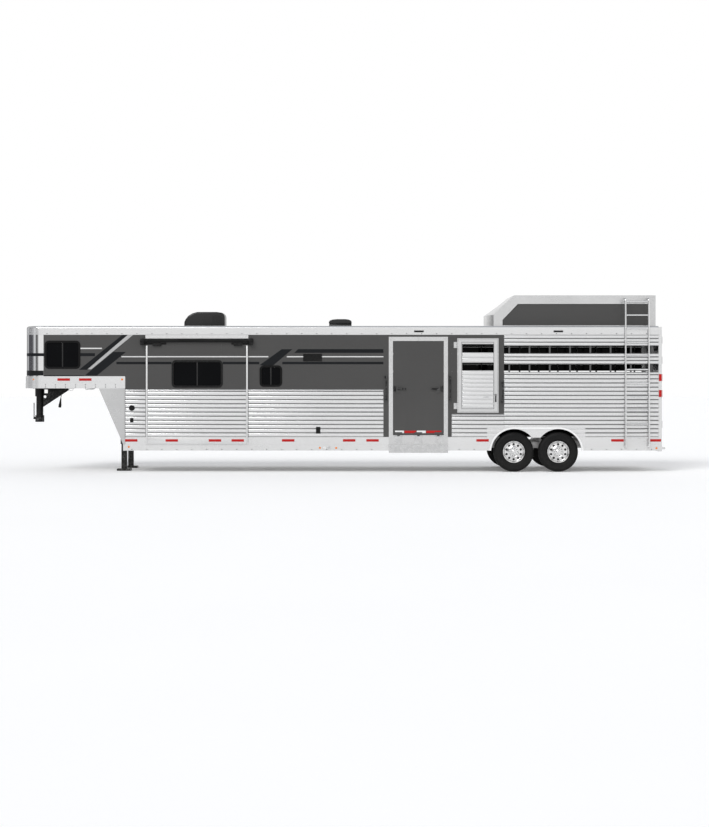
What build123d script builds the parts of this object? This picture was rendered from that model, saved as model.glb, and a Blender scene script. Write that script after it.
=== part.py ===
# Gooseneck livestock trailer with living quarters. Millimetres, +Z up.
# -X is the nose and +X the rear. -Y is the side with the slide-out room and the ramp.
# The origin is on the ground under the middle of the body.
import os
from math import cos, radians, sin, tan

from build123d import *

os.makedirs("parts", exist_ok=True)

# Lengths from front to back
nose_length = 2045
living_length = 5170
stock_length = 5572
bumper_reach = 73
body_length = nose_length + living_length + stock_length + bumper_reach
nose_front = -body_length / 2
bulkhead_x = nose_front + nose_length
partition_x = bulkhead_x + living_length
rear_x = partition_x + stock_length

# Width and heights
body_width = 2438
half_width = body_width / 2
rail_bottom = 428
rail_top = 552
floor_top = 700
nose_bottom = 1674
nose_top = 1916
skin_joint = 1656
eave = 2746
roof_top = 2925

# Sheet, section and gap sizes
seam = 0.6
skin = 3
plank = 8
deck = 12
post_width = 30
post_depth = 38
rail_depth = 30
sill_depth = 20
roof_rail_depth = 60
nose_rail_depth = 40
rear_frame_depth = 66
joist = 100
joist_width = 20
beam = 120
beam_width = 40
moving_gap = 4
fit_gap = 0.5
pin_play = 0.05

# Nose plan shape
corner_radius = 360
shell_setback = 25
corner_x = nose_front + corner_radius
corner_y = half_width - corner_radius
shell_radius = corner_radius - shell_setback
shell_y = half_width - shell_radius
shell_end = nose_front + 411

# Wheels and axles
tyre_radius = 400
tyre_width = 235
rim_radius = 222
wheel_spacing = 892
wheel_inset = 25
wheel_y = half_width - wheel_inset - tyre_width / 2
front_axle_x = partition_x + 2612
axle_xs = [front_axle_x, front_axle_x + wheel_spacing]
spindle_radius = 30
hub_radius = 70
arch_radius = 460
arch_trim = 36
well_top = tyre_radius + arch_radius + arch_trim
well_front = front_axle_x - arch_radius - arch_trim
well_rear = axle_xs[1] + arch_radius + arch_trim
well_inner = half_width - 290
skirt_front = well_front - 40
skirt_rear = well_rear + 40
well_sheet = 5

# Slide-out room
slide_front = bulkhead_x + 426
slide_width = 2022
slide_rear = slide_front + slide_width
slide_top = 2656
slide_lap = 19
slide_travel = 690
slide_depth = slide_travel + 50
slide_wall = 28
slide_sheet = 20
slide_face_in = half_width + fit_gap
slide_face_out = slide_face_in + slide_wall
slide_opening_top = 2640
roll_radius = 33
roll_z = 2628
roll_y = slide_face_out + 8 + roll_radius + 2

# Windows: left edge, width, low edge and height of each outer frame
window_bar = 40
window_lap = 28
window_corner = 85
nose_window = (nose_front + 433, 716, 2064, 564)
small_window = (bulkhead_x + 2690, 452, 1704, 430)
slide_window = (slide_front + 506, 1024, 1688, 550)

# Side ramp
ramp_front = partition_x + 190
ramp_width = 1016
ramp_low = 742
ramp_high = 2618
ramp_jamb = 84
ramp_thick = 25
ramp_face = half_width + 2

# Escape door
escape_front = partition_x + 1490
escape_width = 800
escape_low = 1200
escape_high = 2662
jamb = 14
door_thick = 30
stile = 80

# Entry door, on the far side of the living quarters
entry_front = bulkhead_x + 2885
entry_width = 710
entry_high = 2560

# Air gaps of the stock walls, as low and high edges
lower_gap = (2004, 2160)
upper_gap = (2376, 2524)

# Roof load pod, ladder, roof units
pod_front = partition_x + 2221
pod_length = 3263
pod_half = 970
pod_top = 3546
pod_knee = 3153
pod_bar = 60
pod_sheet = 3
ladder_x = rear_x - 732
ladder_spacing = 466
ladder_tube = 19
ladder_pitch = 272
rung_count = 11

# Coupler and landing jacks
coupler_x = nose_front + 145
tube_outer = 72
tube_wall = 12
ball_radius = 29.9
coupler_low = 974
cable_radius = 7
cable_gland = 34
cable_x = coupler_x + 480
cable_y = -180
jack_x = bulkhead_x - 86
jack_y = 600
jack_outer = 140
jack_leg = 110
foot_size = 280
foot_thick = 40


def block(x0, x1, y0, y1, z0, z1):
    # A box between its limits, in whichever order each pair is given.
    with Locations(((x0 + x1) / 2, (y0 + y1) / 2, (z0 + z1) / 2)):
        Box(abs(x1 - x0), abs(y1 - y0), abs(z1 - z0))


def side_block(side, x0, x1, inner, outer, z0, z1):
    # A box on one side of the trailer, inner and outer measured from the middle.
    block(x0, x1, side * inner, side * outer, z0, z1)


def side_plane(y):
    # A drawing plane seen from the -Y side, with X to the right and Z up.
    return Plane(origin=(0, y, 0), x_dir=(1, 0, 0), z_dir=(0, -1, 0))


def side_plate(side, points, inner, outer):
    # A flat plate with an outline in X and Z, on one side of the trailer.
    near, far = sorted((side * inner, side * outer))
    with BuildSketch(side_plane(far)) as outline:
        with BuildLine():
            Polyline(*points, close=True)
        make_face()
    extrude(outline.sketch, amount=far - near)


def rod(start, end, radius, mode=Mode.ADD):
    # A round bar from one point to another.
    line = Vector(*end) - Vector(*start)
    with BuildSketch(Plane(origin=start, z_dir=line)) as section:
        Circle(radius)
    extrude(section.sketch, amount=line.length, mode=mode)


def sheets_round(x0, x1, z0, z1, holes):
    # The rectangles that are left of a wall once its openings are cut out.
    cuts = {x for hole in holes for x in hole[:2] if x0 < x < x1}
    edges = sorted({x0, x1} | cuts)
    for left, right in zip(edges, edges[1:]):
        low = z0
        for hole in sorted(holes, key=lambda h: h[2]):
            if hole[0] < right and hole[1] > left and hole[3] > z0:
                if hole[2] > low:
                    yield left, right, low, hole[2]
                low = max(low, hole[3])
        if low < z1:
            yield left, right, low, z1


def wall(side, x0, x1, z0, z1, inner, outer, holes=()):
    # Panels around openings, with a seam between neighbours.
    for left, right, low, high in sheets_round(x0, x1, z0, z1, holes):
        edges = left + seam / 2, right - seam / 2
        side_block(side, *edges, inner, outer, low + seam / 2, high - seam / 2)


def corner_bend(side, pivot_y, inner, outer, low, high):
    # A quarter ring in plan, round a nose corner.
    with BuildSketch(Plane.YZ.offset(corner_x - seam)) as section:
        with Locations((side * (pivot_y + (inner + outer) / 2), (low + high) / 2)):
            Rectangle(outer - inner, high - low)
    revolve(section.sketch, axis=Axis((corner_x - seam, side * pivot_y, 0), (0, 0, side)), revolution_arc=90)


def window_outline(window, inset, y, depth, mode=Mode.ADD):
    # A rounded rectangle inset from a window's outer frame, from y towards the middle.
    x, width, z, height = window
    with BuildSketch(side_plane(-y)) as outline:
        with Locations((x + width / 2, z + height / 2)):
            RectangleRounded(width - 2 * inset, height - 2 * inset, window_corner - inset)
    extrude(outline.sketch, amount=-depth, mode=mode)


def window_ring(window, face):
    # A flange on the wall's face with a collar that passes through the wall.
    window_outline(window, 0, face + 10, 10)
    window_outline(window, window_lap, face, 32)
    window_outline(window, window_bar, face + 10, 42, mode=Mode.SUBTRACT)


def window_pane(window, face, depth, on_left):
    # One half of a sliding window, reaching a little past the middle.
    x, width, z, height = window
    inner = width - 2 * window_bar - 2 * fit_gap
    pane = inner / 2 + 12
    start = x + window_bar + fit_gap if on_left else x + width - window_bar - fit_gap - pane
    with BuildSketch(side_plane(-(face - depth))) as outline:
        with Locations((start + pane / 2, z + height / 2)):
            RectangleRounded(pane, height - 2 * window_bar - 2 * fit_gap, window_corner - window_bar)
    extrude(outline.sketch, amount=-6)


def window_hole(window):
    x, width, z, height = window
    return (x + window_lap, x + width - window_lap, z + window_lap, z + height - window_lap)


barrel_radius = 12
pin_radius = 6
leaf_thick = 5
leaf_reach = 70
barrel_stand = 14


def hinge_box(place, x0, x1, low, high):
    with Locations(place.location * Pos((x0 + x1) / 2, -barrel_stand + leaf_thick / 2, (low + high) / 2)):
        Box(abs(x1 - x0), leaf_thick, high - low)


def hinge_barrel(place, low, high, radius, mode=Mode.ADD):
    with Locations(place.location * Pos(0, 0, (low + high) / 2)):
        Cylinder(radius, high - low, mode=mode)


def fixed_leaf(place, length, reach=leaf_reach):
    # Two barrels, the pin and the leaf that goes to local +X. Local Z is the hinge's axis.
    third = length / 6
    hinge_box(place, barrel_radius + 1, reach, -length / 2, length / 2)
    for low, high in ((-length / 2, -third - fit_gap), (third + fit_gap, length / 2)):
        hinge_box(place, 0, barrel_radius + 1, low, high)
        hinge_barrel(place, low, high, barrel_radius)
    hinge_barrel(place, -length / 2, length / 2, pin_radius)


def moving_leaf(place, length, reach=leaf_reach):
    # The middle barrel with its bore and the leaf that goes to local -X.
    third = length / 6
    hinge_box(place, -reach, -barrel_radius - 1, -length / 2, length / 2)
    hinge_box(place, -barrel_radius - 1, 0, -third, third)
    hinge_barrel(place, -third, third, barrel_radius)
    hinge_barrel(place, -third, third, pin_radius + pin_play, mode=Mode.SUBTRACT)


def finish(builder, label):
    builder.part.label = label
    export_step(builder.part, f"parts/{label}.step")


# Chassis: lengthwise beams, joists and the gooseneck's own beams and joists
beam_y = 800
joist_low = floor_top - deck - joist
neck_beam_y = 300
neck_xs = [nose_front + 450 + step * 480 for step in range(4)]
joist_xs = []
joist_x = bulkhead_x + 220
while joist_x < rear_x - 150:
    joist_xs.append(joist_x)
    joist_x += 405
with BuildPart() as chassis_frame:
    for side in (-1, 1):
        side_block(side, bulkhead_x + deck, rear_x - rear_frame_depth, beam_y, beam_y + beam_width,
                   joist_low - beam, joist_low - seam)
        side_block(side, nose_front + nose_rail_depth, bulkhead_x, neck_beam_y,
                   neck_beam_y + beam_width, nose_bottom, nose_top - deck)
    for x in joist_xs:
        beside_well = well_front - 40 < x < well_rear + 40
        reach = well_inner if beside_well else half_width - sill_depth
        block(x, x + joist_width, -reach, reach, joist_low, floor_top - deck)
    for x in neck_xs:
        for low, high in ((-half_width + nose_rail_depth, -neck_beam_y - beam_width),
                          (-neck_beam_y, neck_beam_y),
                          (neck_beam_y + beam_width, half_width - nose_rail_depth)):
            block(x, x + joist_width, low + seam, high - seam, nose_top - deck - joist, nose_top - deck)
finish(chassis_frame, "chassis_frame")

# Floors of the living quarters, the stock room and the bed over the gooseneck
with BuildPart() as decks:
    floor_edge = half_width - sill_depth
    spans = ((bulkhead_x + deck, well_front, floor_edge), (well_front, well_rear, well_inner),
             (well_rear, rear_x - rear_frame_depth, floor_edge))
    for x0, x1, edge in spans:
        block(x0 + seam / 2, x1 - seam / 2, -edge, edge, floor_top - deck, floor_top)
    with BuildSketch(Plane.XY.offset(nose_top - deck)) as bed:
        bed_front = nose_front + nose_rail_depth
        with Locations(((bed_front + bulkhead_x + deck) / 2, 0)):
            Rectangle(bulkhead_x + deck - bed_front, body_width - 2 * nose_rail_depth)
        fillet(bed.vertices().group_by(Axis.X)[0], corner_radius - nose_rail_depth)
    extrude(amount=deck)
finish(decks, "decks")

# Lower side rails, the sills over them and the deep rail round the nose
with BuildPart() as lower_rails:
    for side in (-1, 1):
        for x0, x1 in ((bulkhead_x - 42, skirt_front), (skirt_rear, rear_x - rear_frame_depth - seam)):
            side_block(side, x0, x1, half_width - rail_depth, half_width, rail_bottom, rail_top - seam)
        for x0, x1 in ((bulkhead_x + seam, skirt_front), (skirt_rear, rear_x - rear_frame_depth - seam)):
            side_block(side, x0, x1, half_width - sill_depth, half_width, rail_top, floor_top - seam)
        for low, high, proud in ((nose_bottom, 1790, 0), (1790 + seam, nose_top, -3)):
            outer = half_width + proud
            side_block(side, corner_x, bulkhead_x, half_width - nose_rail_depth, outer, low, high)
            corner_bend(side, corner_y, corner_radius - nose_rail_depth, corner_radius + proud, low, high)
    for low, high, proud in ((nose_bottom, 1790, 0), (1790 + seam, nose_top, -3)):
        block(nose_front - proud, nose_front + nose_rail_depth, -corner_y, corner_y, low, high)
finish(lower_rails, "lower_rails")

# Bulkhead under the nose and the wall between living quarters and stock room
with BuildPart() as bulkheads:
    block(bulkhead_x, bulkhead_x + deck, -half_width + post_depth + skin, half_width - post_depth - skin,
          rail_top, nose_top - deck)
    room_half = half_width - roof_rail_depth
    block(partition_x, partition_x + deck, -room_half, room_half, floor_top, roof_top - deck)
finish(bulkheads, "bulkheads")

# Openings that the side walls are built round
slide_hole = (slide_front + slide_lap, slide_rear - slide_lap, 0, slide_opening_top)
ramp_hole = (ramp_front - ramp_jamb, ramp_front + ramp_width + ramp_jamb, 0, ramp_high + 88)
escape_hole = (escape_front - jamb, escape_front + escape_width + jamb, escape_low - jamb,
               escape_high + jamb)
entry_hole = (entry_front - jamb, entry_front + entry_width + jamb, 0, entry_high + jamb)
well_hole = (skirt_front, skirt_rear, 0, well_top + 4)
surround_end = escape_hole[1] + 108
surround_low = 1160
ribbed_front = ramp_hole[1] + 74
skin_in = half_width - skin

# Ribbed lower skins, their corner trims and the triangular plates under the nose
with BuildPart() as lower_skins:
    wall(-1, bulkhead_x, partition_x, floor_top, skin_joint, skin_in, half_width, [slide_hole])
    wall(1, bulkhead_x, partition_x, floor_top, skin_joint, skin_in, half_width, [entry_hole])
    wall(-1, ribbed_front, surround_end, floor_top, surround_low, skin_in, half_width, [well_hole])
    for side in (-1, 1):
        plate_top, plate_rear = nose_bottom - seam, bulkhead_x - 42 - seam
        side_plate(side, [(bulkhead_x - 528, plate_top), (plate_rear, rail_top + 2),
                          (plate_rear, plate_top)], half_width - 6, half_width)
        side_block(side, bulkhead_x - 42, bulkhead_x - 6, half_width - 10, half_width + 4,
                   rail_top, plate_top)
finish(lower_skins, "lower_skins")

# Grey skins: upper living quarters and the panel round the ramp and escape door
with BuildPart() as grey_skins:
    holes = [slide_hole, window_hole(nose_window), window_hole(small_window)]
    wall(-1, shell_end, bulkhead_x, nose_top, eave, skin_in, half_width, holes)
    wall(-1, bulkhead_x, partition_x, skin_joint, eave, skin_in, half_width, holes)
    wall(1, shell_end, bulkhead_x, nose_top, eave, skin_in, half_width)
    wall(1, bulkhead_x, partition_x, skin_joint, eave, skin_in, half_width, [entry_hole])
    wall(-1, partition_x, ribbed_front, floor_top, eave, skin_in, half_width, [ramp_hole])
    wall(-1, ribbed_front, surround_end, surround_low, eave, skin_in, half_width, [escape_hole])
finish(grey_skins, "grey_skins")

# Polished nose: front sheet, rounded corners and the flat returns behind them
with BuildPart() as nose_shell:
    shell_front = nose_front + shell_setback
    block(shell_front, shell_front + skin, -shell_y, shell_y, nose_top + seam, eave - seam)
    for side in (-1, 1):
        corner_bend(side, shell_y, shell_radius - skin, shell_radius, nose_top + seam, eave - seam)
        side_block(side, corner_x, shell_end - seam, skin_in, half_width, nose_top + seam, eave - seam)
finish(nose_shell, "nose_shell")

# Wall posts and roof bows
post_pitch = 406
with BuildPart() as body_ribs:
    for side in (-1, 1):
        blocked = [slide_hole, ramp_hole, escape_hole] if side < 0 else [entry_hole]
        if side < 0:
            blocked = blocked + [window_hole(nose_window), window_hole(small_window)]
        x = nose_front + 380
        while x < rear_x - 130:
            clear = all(x + post_width + 16 < hole[0] or x - 16 > hole[1] for hole in blocked)
            if clear and not (partition_x - 45 < x < partition_x + 20) and abs(x - bulkhead_x) > 45:
                low = nose_top if x < bulkhead_x else floor_top
                if well_front - 45 < x < well_rear + 10:
                    low = well_top + 8
                sheet = plank if x > (surround_end if side < 0 else partition_x) else skin
                side_block(side, x, x + post_width, half_width - sheet - post_depth,
                           half_width - sheet, low + seam, eave - seam)
            x += post_pitch
    x = nose_front + 500
    while x < rear_x - 150:
        if abs(x - partition_x) > 60:
            block(x, x + post_width, -half_width + roof_rail_depth, half_width - roof_rail_depth,
                  roof_top - deck - 50, roof_top - deck)
        x += 610
finish(body_ribs, "body_ribs")

# Stock walls: planks between the floor, the air gaps and the eave
plank_count = 5
with BuildPart() as stock_planks:
    plank_in = half_width - plank
    plank_height = (lower_gap[0] - floor_top) / plank_count
    courses = [(floor_top + row * plank_height, floor_top + (row + 1) * plank_height)
               for row in range(plank_count)]
    courses += [(lower_gap[1], upper_gap[0]), (upper_gap[1], eave)]
    for side, start in ((-1, surround_end), (1, partition_x)):
        for low, high in courses:
            wall(side, start, rear_x - rear_frame_depth, low, high, plank_in, half_width, [well_hole])
finish(stock_planks, "stock_planks")

# Roof rails: rounded outside, carried round the nose, and the white rail over the slide-out
round_over = 52


def rail_profile(side, plane):
    # The rail's section on a plane whose local X is the trailer's Y.
    with BuildSketch(plane) as section:
        with Locations((side * (half_width - roof_rail_depth / 2), (eave + roof_top) / 2)):
            Rectangle(roof_rail_depth, roof_top - eave)
        outer_top = section.vertices().sort_by(Axis((0, 0, 0), (side, 1, 0)))[-1]
        fillet(outer_top, round_over)
    return section.sketch


with BuildPart() as roof_rails:
    for side in (-1, 1):
        extrude(rail_profile(side, Plane.YZ.offset(corner_x)), amount=rear_x - rear_frame_depth - seam - corner_x)
    for side in (-1, 1):
        pivot = Axis((corner_x - seam, side * shell_y, 0), (0, 0, side))
        revolve(rail_profile(side, Plane.YZ.offset(corner_x - seam)), axis=pivot, revolution_arc=90)
    with BuildSketch(Plane.XZ.offset(-shell_y + seam)) as section:
        with Locations((nose_front + shell_setback + roof_rail_depth / 2 - seam, (eave + roof_top) / 2)):
            Rectangle(roof_rail_depth, roof_top - eave)
        fillet(section.vertices().sort_by(Axis((0, 0, 0), (-1, 1, 0)))[-1], round_over)
    extrude(amount=2 * (shell_y - seam))
    block(slide_front - 18, slide_rear + 18, -half_width, -half_width - 18, slide_top + 16, eave - 4)
finish(roof_rails, "roof_rails")

# Roof sheets between the rails
with BuildPart() as roof_skin:
    roof_edge = half_width - roof_rail_depth
    joints = [corner_x, bulkhead_x, bulkhead_x + 1985, partition_x, partition_x + 2700,
              rear_x - rear_frame_depth]
    for x0, x1 in zip(joints, joints[1:]):
        block(x0 + seam / 2, x1 - seam / 2, -roof_edge, roof_edge, roof_top - deck, roof_top)
    with BuildSketch(Plane.XY.offset(roof_top - deck)) as cap:
        cap_front = nose_front + shell_setback + roof_rail_depth
        cap_length = corner_x - cap_front - 3 * seam
        with Locations((cap_front + seam + cap_length / 2, 0)):
            Rectangle(cap_length, 2 * (roof_edge - seam))
        fillet(cap.vertices().group_by(Axis.X)[0], cap_length - seam / 2)
    extrude(amount=deck)
finish(roof_skin, "roof_skin")

# Rear frame and bumper
rear_post = 90
with BuildPart() as rear_frame:
    rear_in = rear_x - rear_frame_depth
    for side in (-1, 1):
        side_block(side, rear_in, rear_x, half_width - rear_post, half_width, rail_top, eave - seam)
    block(rear_in, rear_x, -half_width, half_width, eave, roof_top - 20)
    block(rear_in, rear_x, -half_width + rear_post + seam, half_width - rear_post - seam, rail_top, floor_top)
    block(rear_in, rear_x, -half_width, half_width, 410, rail_top - seam)
    block(rear_x + seam, rear_x + bumper_reach, -half_width + 20, half_width - 20, 452, rail_top - 60)
finish(rear_frame, "rear_frame")

# Fender skirts: the wall round the wheels, with the two arches cut out
with BuildPart() as fender_skirts:
    for side in (-1, 1):
        near, far = sorted((side * (half_width - 6), side * half_width))
        with BuildSketch(side_plane(far)):
            with Locations(((well_hole[0] + well_hole[1]) / 2, (rail_bottom + well_hole[3]) / 2)):
                Rectangle(well_hole[1] - well_hole[0] - 2 * seam, well_hole[3] - rail_bottom - 2 * seam)
            with Locations(*[(x, tyre_radius) for x in axle_xs]):
                Circle(arch_radius, mode=Mode.SUBTRACT)
            with Locations(((axle_xs[0] + axle_xs[1]) / 2, 540)):
                Rectangle(wheel_spacing * 0.62, 296, mode=Mode.SUBTRACT)
        extrude(amount=far - near)
finish(fender_skirts, "fender_skirts")

# White trim over each pair of wheels
with BuildPart() as fender_trims:
    for side in (-1, 1):
        near, far = sorted((side * half_width, side * (half_width + 24)))
        with BuildSketch(side_plane(far)):
            for radius, mode in ((arch_radius + arch_trim, Mode.ADD), (arch_radius, Mode.SUBTRACT)):
                with Locations(*[(x, tyre_radius) for x in axle_xs]):
                    Circle(radius, mode=mode)
                with Locations(((axle_xs[0] + axle_xs[1]) / 2, tyre_radius + radius / 2)):
                    Rectangle(wheel_spacing, radius, mode=mode)
            with Locations(((axle_xs[0] + axle_xs[1]) / 2, rail_bottom - arch_radius)):
                Rectangle(wheel_spacing + 3 * arch_radius, 2 * arch_radius, mode=Mode.SUBTRACT)
        extrude(amount=far - near)
finish(fender_trims, "fender_trims")

# Wheel wells, axles and their hangers
with BuildPart() as running_gear:
    for side in (-1, 1):
        top_low = well_top + 4
        side_block(side, well_front, well_rear, well_inner, half_width - plank - post_depth - 4,
                   top_low - well_sheet, top_low)
        side_block(side, well_front, well_rear, well_inner, well_inner + well_sheet,
                   floor_top + seam, top_low - well_sheet - seam)
        for x in (well_front, well_rear - well_sheet):
            side_block(side, x, x + well_sheet, well_inner + well_sheet + seam, half_width - 7,
                       rail_bottom, top_low - well_sheet - seam)
    axle_half = wheel_y - 95
    for x in axle_xs:
        block(x - 50, x + 50, -axle_half, axle_half, tyre_radius - 50, joist_low - beam - seam)
        for side in (-1, 1):
            rod((x, side * (axle_half - 2), tyre_radius), (x, side * (wheel_y + 58), tyre_radius),
                spindle_radius)
finish(running_gear, "running_gear")


# Wheels: tyre, and a dished wheel with its hub, hand holes, studs and cap
def make_tyre(x, side, label):
    half = tyre_width / 2
    with BuildPart() as tyre:
        with BuildSketch(Plane.YZ.offset(x)) as section:
            with Locations((side * wheel_y, tyre_radius + (tyre_radius + rim_radius) / 2)):
                Rectangle(2 * half, tyre_radius - rim_radius)
            fillet(section.vertices().group_by(Axis.Y)[-1], 45)
            fillet(section.vertices().group_by(Axis.Y)[0], 30)
        revolve(axis=Axis((x, 0, tyre_radius), (0, 1, 0)), revolution_arc=360)
    finish(tyre, label)


def make_wheel(x, side, label):
    face = side * (wheel_y + 40)
    outward = Plane(origin=(x, face, tyre_radius), x_dir=(1, 0, 0), z_dir=(0, side, 0))
    with BuildPart() as wheel:
        with BuildSketch(Plane.YZ.offset(x)):
            with BuildLine():
                low, high, top = wheel_y - 92, wheel_y + 100, tyre_radius + rim_radius - fit_gap
                Polyline((side * low, top), (side * high, top), (side * high, top - 8),
                         (side * (high - 16), top - 16), (side * (low + 16), top - 16),
                         (side * low, top - 8), close=True)
            make_face()
        revolve(axis=Axis((x, 0, tyre_radius), (0, 1, 0)), revolution_arc=360)
        with BuildSketch(outward.offset(-12)):
            Circle(rim_radius - 14)
            with PolarLocations(168, 10):
                Circle(20, mode=Mode.SUBTRACT)
        extrude(amount=12)
        with BuildSketch(outward.offset(-84)):
            Circle(hub_radius)
        extrude(amount=130)
        with BuildSketch(outward):
            with PolarLocations(104, 8):
                Circle(14)
        extrude(amount=26)
        with BuildSketch(outward.offset(-90)):
            Circle(spindle_radius + pin_play)
        extrude(amount=112, mode=Mode.SUBTRACT)
    finish(wheel, label)


for side, side_name in ((-1, "left"), (1, "right")):
    for x, x_name in zip(axle_xs, ("front", "rear")):
        make_tyre(x, side, f"tyre_{x_name}_{side_name}")
        make_wheel(x, side, f"wheel_{x_name}_{side_name}")

# Window frames, fixed panes, and tinted covers in the far wall's air gaps, open along the bottom
body_windows = (nose_window, small_window)
cover_open = 22
with BuildPart() as window_frames:
    for window in body_windows:
        window_ring(window, half_width)
finish(window_frames, "window_frames")
with BuildPart() as window_panes:
    for window in body_windows:
        window_pane(window, half_width, 6, on_left=False)
    for low, high in (lower_gap, upper_gap):
        side_block(1, partition_x + seam, rear_x - rear_frame_depth - seam, half_width - plank,
                   half_width - plank + 6, low + cover_open, high - seam)
finish(window_panes, "window_panes")
for window, name in ((nose_window, "nose_sash"), (small_window, "small_sash")):
    with BuildPart() as sash:
        window_pane(window, half_width, 16, on_left=True)
    finish(sash, name)

# Slide-out room: four closed sides, face panels round its window, trims and window
with BuildPart() as slide_box:
    box_front = slide_front + slide_lap + 8
    box_rear = slide_rear - slide_lap - 8
    box_top = slide_opening_top - 8
    box_low = floor_top + 6
    depth_in = half_width - slide_depth
    for x in (box_front, box_rear - slide_sheet):
        side_block(-1, x, x + slide_sheet, depth_in, slide_face_in - seam, box_low, box_top)
    for z in (box_low, box_top - slide_sheet):
        side_block(-1, box_front + slide_sheet + seam, box_rear - slide_sheet - seam, depth_in,
                   slide_face_in - seam, z, z + slide_sheet)
    lip = 36
    lip_in = depth_in - 16
    for x in (box_front - lip, box_rear):
        side_block(-1, x, x + lip, lip_in, depth_in - seam, box_low, box_top + lip)
    side_block(-1, box_front + seam, box_rear - seam, lip_in, depth_in - seam, box_top - 10, box_top + lip)
finish(slide_box, "slide_box")

with BuildPart() as slide_face:
    x0, x1, z0, z1 = window_hole(slide_window)
    wall(-1, slide_front, slide_rear, rail_top + 6, slide_top, slide_face_in, slide_face_out, [(x0, x1, z0, z1)])
    for x in (slide_front - 8, slide_rear - 24):
        side_block(-1, x, x + 32, slide_face_out + seam, slide_face_out + 6, rail_top + 6, slide_top - 130)
finish(slide_face, "slide_face")

# Black fittings of the slide-out: window frame, the brackets and end caps of the roller
cap_gap = 4
roll_front = slide_front - 34
roll_rear = slide_rear + 34
with BuildPart() as slide_fittings:
    window_ring(slide_window, slide_face_out)
    for x, bracket in ((roll_front - cap_gap - 76, slide_front + 400), (roll_rear + cap_gap, slide_rear - 320)):
        x0, x1 = sorted((x + 38, bracket))
        side_block(-1, x, x + 76, slide_face_out + seam, roll_y + roll_radius + 6, roll_z - 90, roll_z + 28)
        rod((x + 38, -roll_y, roll_z), (x + 38 + (60 if x < slide_front else -60), -roll_y, roll_z), 12)
        side_block(-1, x0, x1, slide_face_out + seam, slide_face_out + 7, roll_z - 80, roll_z - 40)
    for x in (slide_front + 130, slide_rear - 270):
        side_block(-1, x, x + 170, slide_face_out + 7, slide_face_out + 40, roll_z - 110, roll_z - 40)
finish(slide_fittings, "slide_fittings")

with BuildPart() as slide_pane:
    window_pane(slide_window, slide_face_out, 6, on_left=False)
finish(slide_pane, "slide_pane")
with BuildPart() as slide_sash:
    window_pane(slide_window, slide_face_out, 16, on_left=True)
finish(slide_sash, "slide_sash")

with BuildPart() as topper_roll:
    rod((roll_front, -roll_y, roll_z), (roll_rear, -roll_y, roll_z), roll_radius)
    for start, end in ((roll_front, roll_front + 30), (roll_rear - 30, roll_rear)):
        rod((start, -roll_y, roll_z), (end, -roll_y, roll_z), 12 + pin_play, mode=Mode.SUBTRACT)
finish(topper_roll, "topper_roll")

# Fixed frames round the ramp, the escape door and the entry door
with BuildPart() as opening_frames:
    x0, x1, z1 = ramp_front, ramp_front + ramp_width, ramp_high + moving_gap
    frame_in = half_width - post_depth
    for start, end in ((ramp_hole[0], x0), (x1, ramp_hole[1])):
        side_block(-1, start + seam, end - seam, frame_in, half_width + 6, floor_top + seam, ramp_hole[3] - seam)
        side_block(-1, start + seam, end - seam, half_width, half_width + 6, rail_top, floor_top)
    side_block(-1, x0, x1, frame_in, half_width + 6, z1, ramp_hole[3] - seam)
    side_block(-1, x0, x1, frame_in, ramp_face, floor_top + seam, ramp_low - 6)
    side_block(-1, x0, x1, half_width, ramp_face, rail_top, floor_top)
    for hole, sign in ((escape_hole, -1), (entry_hole, 1)):
        low = max(hole[2], floor_top) + seam
        for start in (hole[0] + seam, hole[1] - jamb + seam):
            side_block(sign, start, start + jamb - 2 * seam, frame_in, half_width, low, hole[3] - seam)
        lintels = [(hole[3] - jamb, hole[3] - seam)]
        if hole is escape_hole:
            lintels.append((low, low + jamb - seam))
        for bar_low, bar_high in lintels:
            side_block(sign, hole[0] + jamb, hole[1] - jamb, frame_in, half_width, bar_low, bar_high)
finish(opening_frames, "opening_frames")

# Side ramp: hinged along its lower edge, with a latch at each side
ramp_axis_y = -(ramp_face + barrel_stand)
ramp_axis_z = ramp_low - 14
ramp_hinge_xs = [ramp_front + 110, ramp_front + ramp_width / 2, ramp_front + ramp_width - 110]
ramp_latch_z = 1664
ramp_latch_xs = ((ramp_front + 110, 1), (ramp_front + ramp_width - 110, -1))
latch_pivot = 10
latch_stand = 20


def ramp_hinge_place(x):
    # Local Z runs along the hinge, local X points down to the fixed leaf, local Y outwards.
    return Plane(origin=(x, ramp_axis_y, ramp_axis_z), x_dir=(0, 0, -1), z_dir=(-1, 0, 0))


with BuildPart() as ramp_panel:
    side_block(-1, ramp_front + moving_gap, ramp_front + ramp_width - moving_gap,
               ramp_face - ramp_thick, ramp_face, ramp_low, ramp_high)
    for x in ramp_hinge_xs:
        moving_leaf(ramp_hinge_place(x), 150)
    for x, inward in ramp_latch_xs:
        x0, x1 = sorted((x - inward * 44, x + inward * 34))
        side_block(-1, x0, x1, ramp_face, half_width + latch_stand - 4, ramp_latch_z - 80, ramp_latch_z + 50)
        rod((x, -ramp_face, ramp_latch_z), (x, -half_width - latch_stand - 20, ramp_latch_z), latch_pivot)
finish(ramp_panel, "ramp_panel")
for (x, inward), name in zip(ramp_latch_xs, ("front", "rear")):
    with BuildPart() as ramp_latch:
        latch_in = half_width + latch_stand - 4 + fit_gap
        rod((x, -latch_in, ramp_latch_z), (x, -latch_in - 18, ramp_latch_z), 26)
        x0, x1 = sorted((x, x + inward * 150))
        side_block(-1, x0, x1, latch_in + 4, latch_in + 18, ramp_latch_z - 14, ramp_latch_z + 14)
        rod((x, -latch_in + 5, ramp_latch_z), (x, -latch_in - 30, ramp_latch_z),
            latch_pivot + pin_play, mode=Mode.SUBTRACT)
    finish(ramp_latch, f"ramp_latch_{name}")


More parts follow.
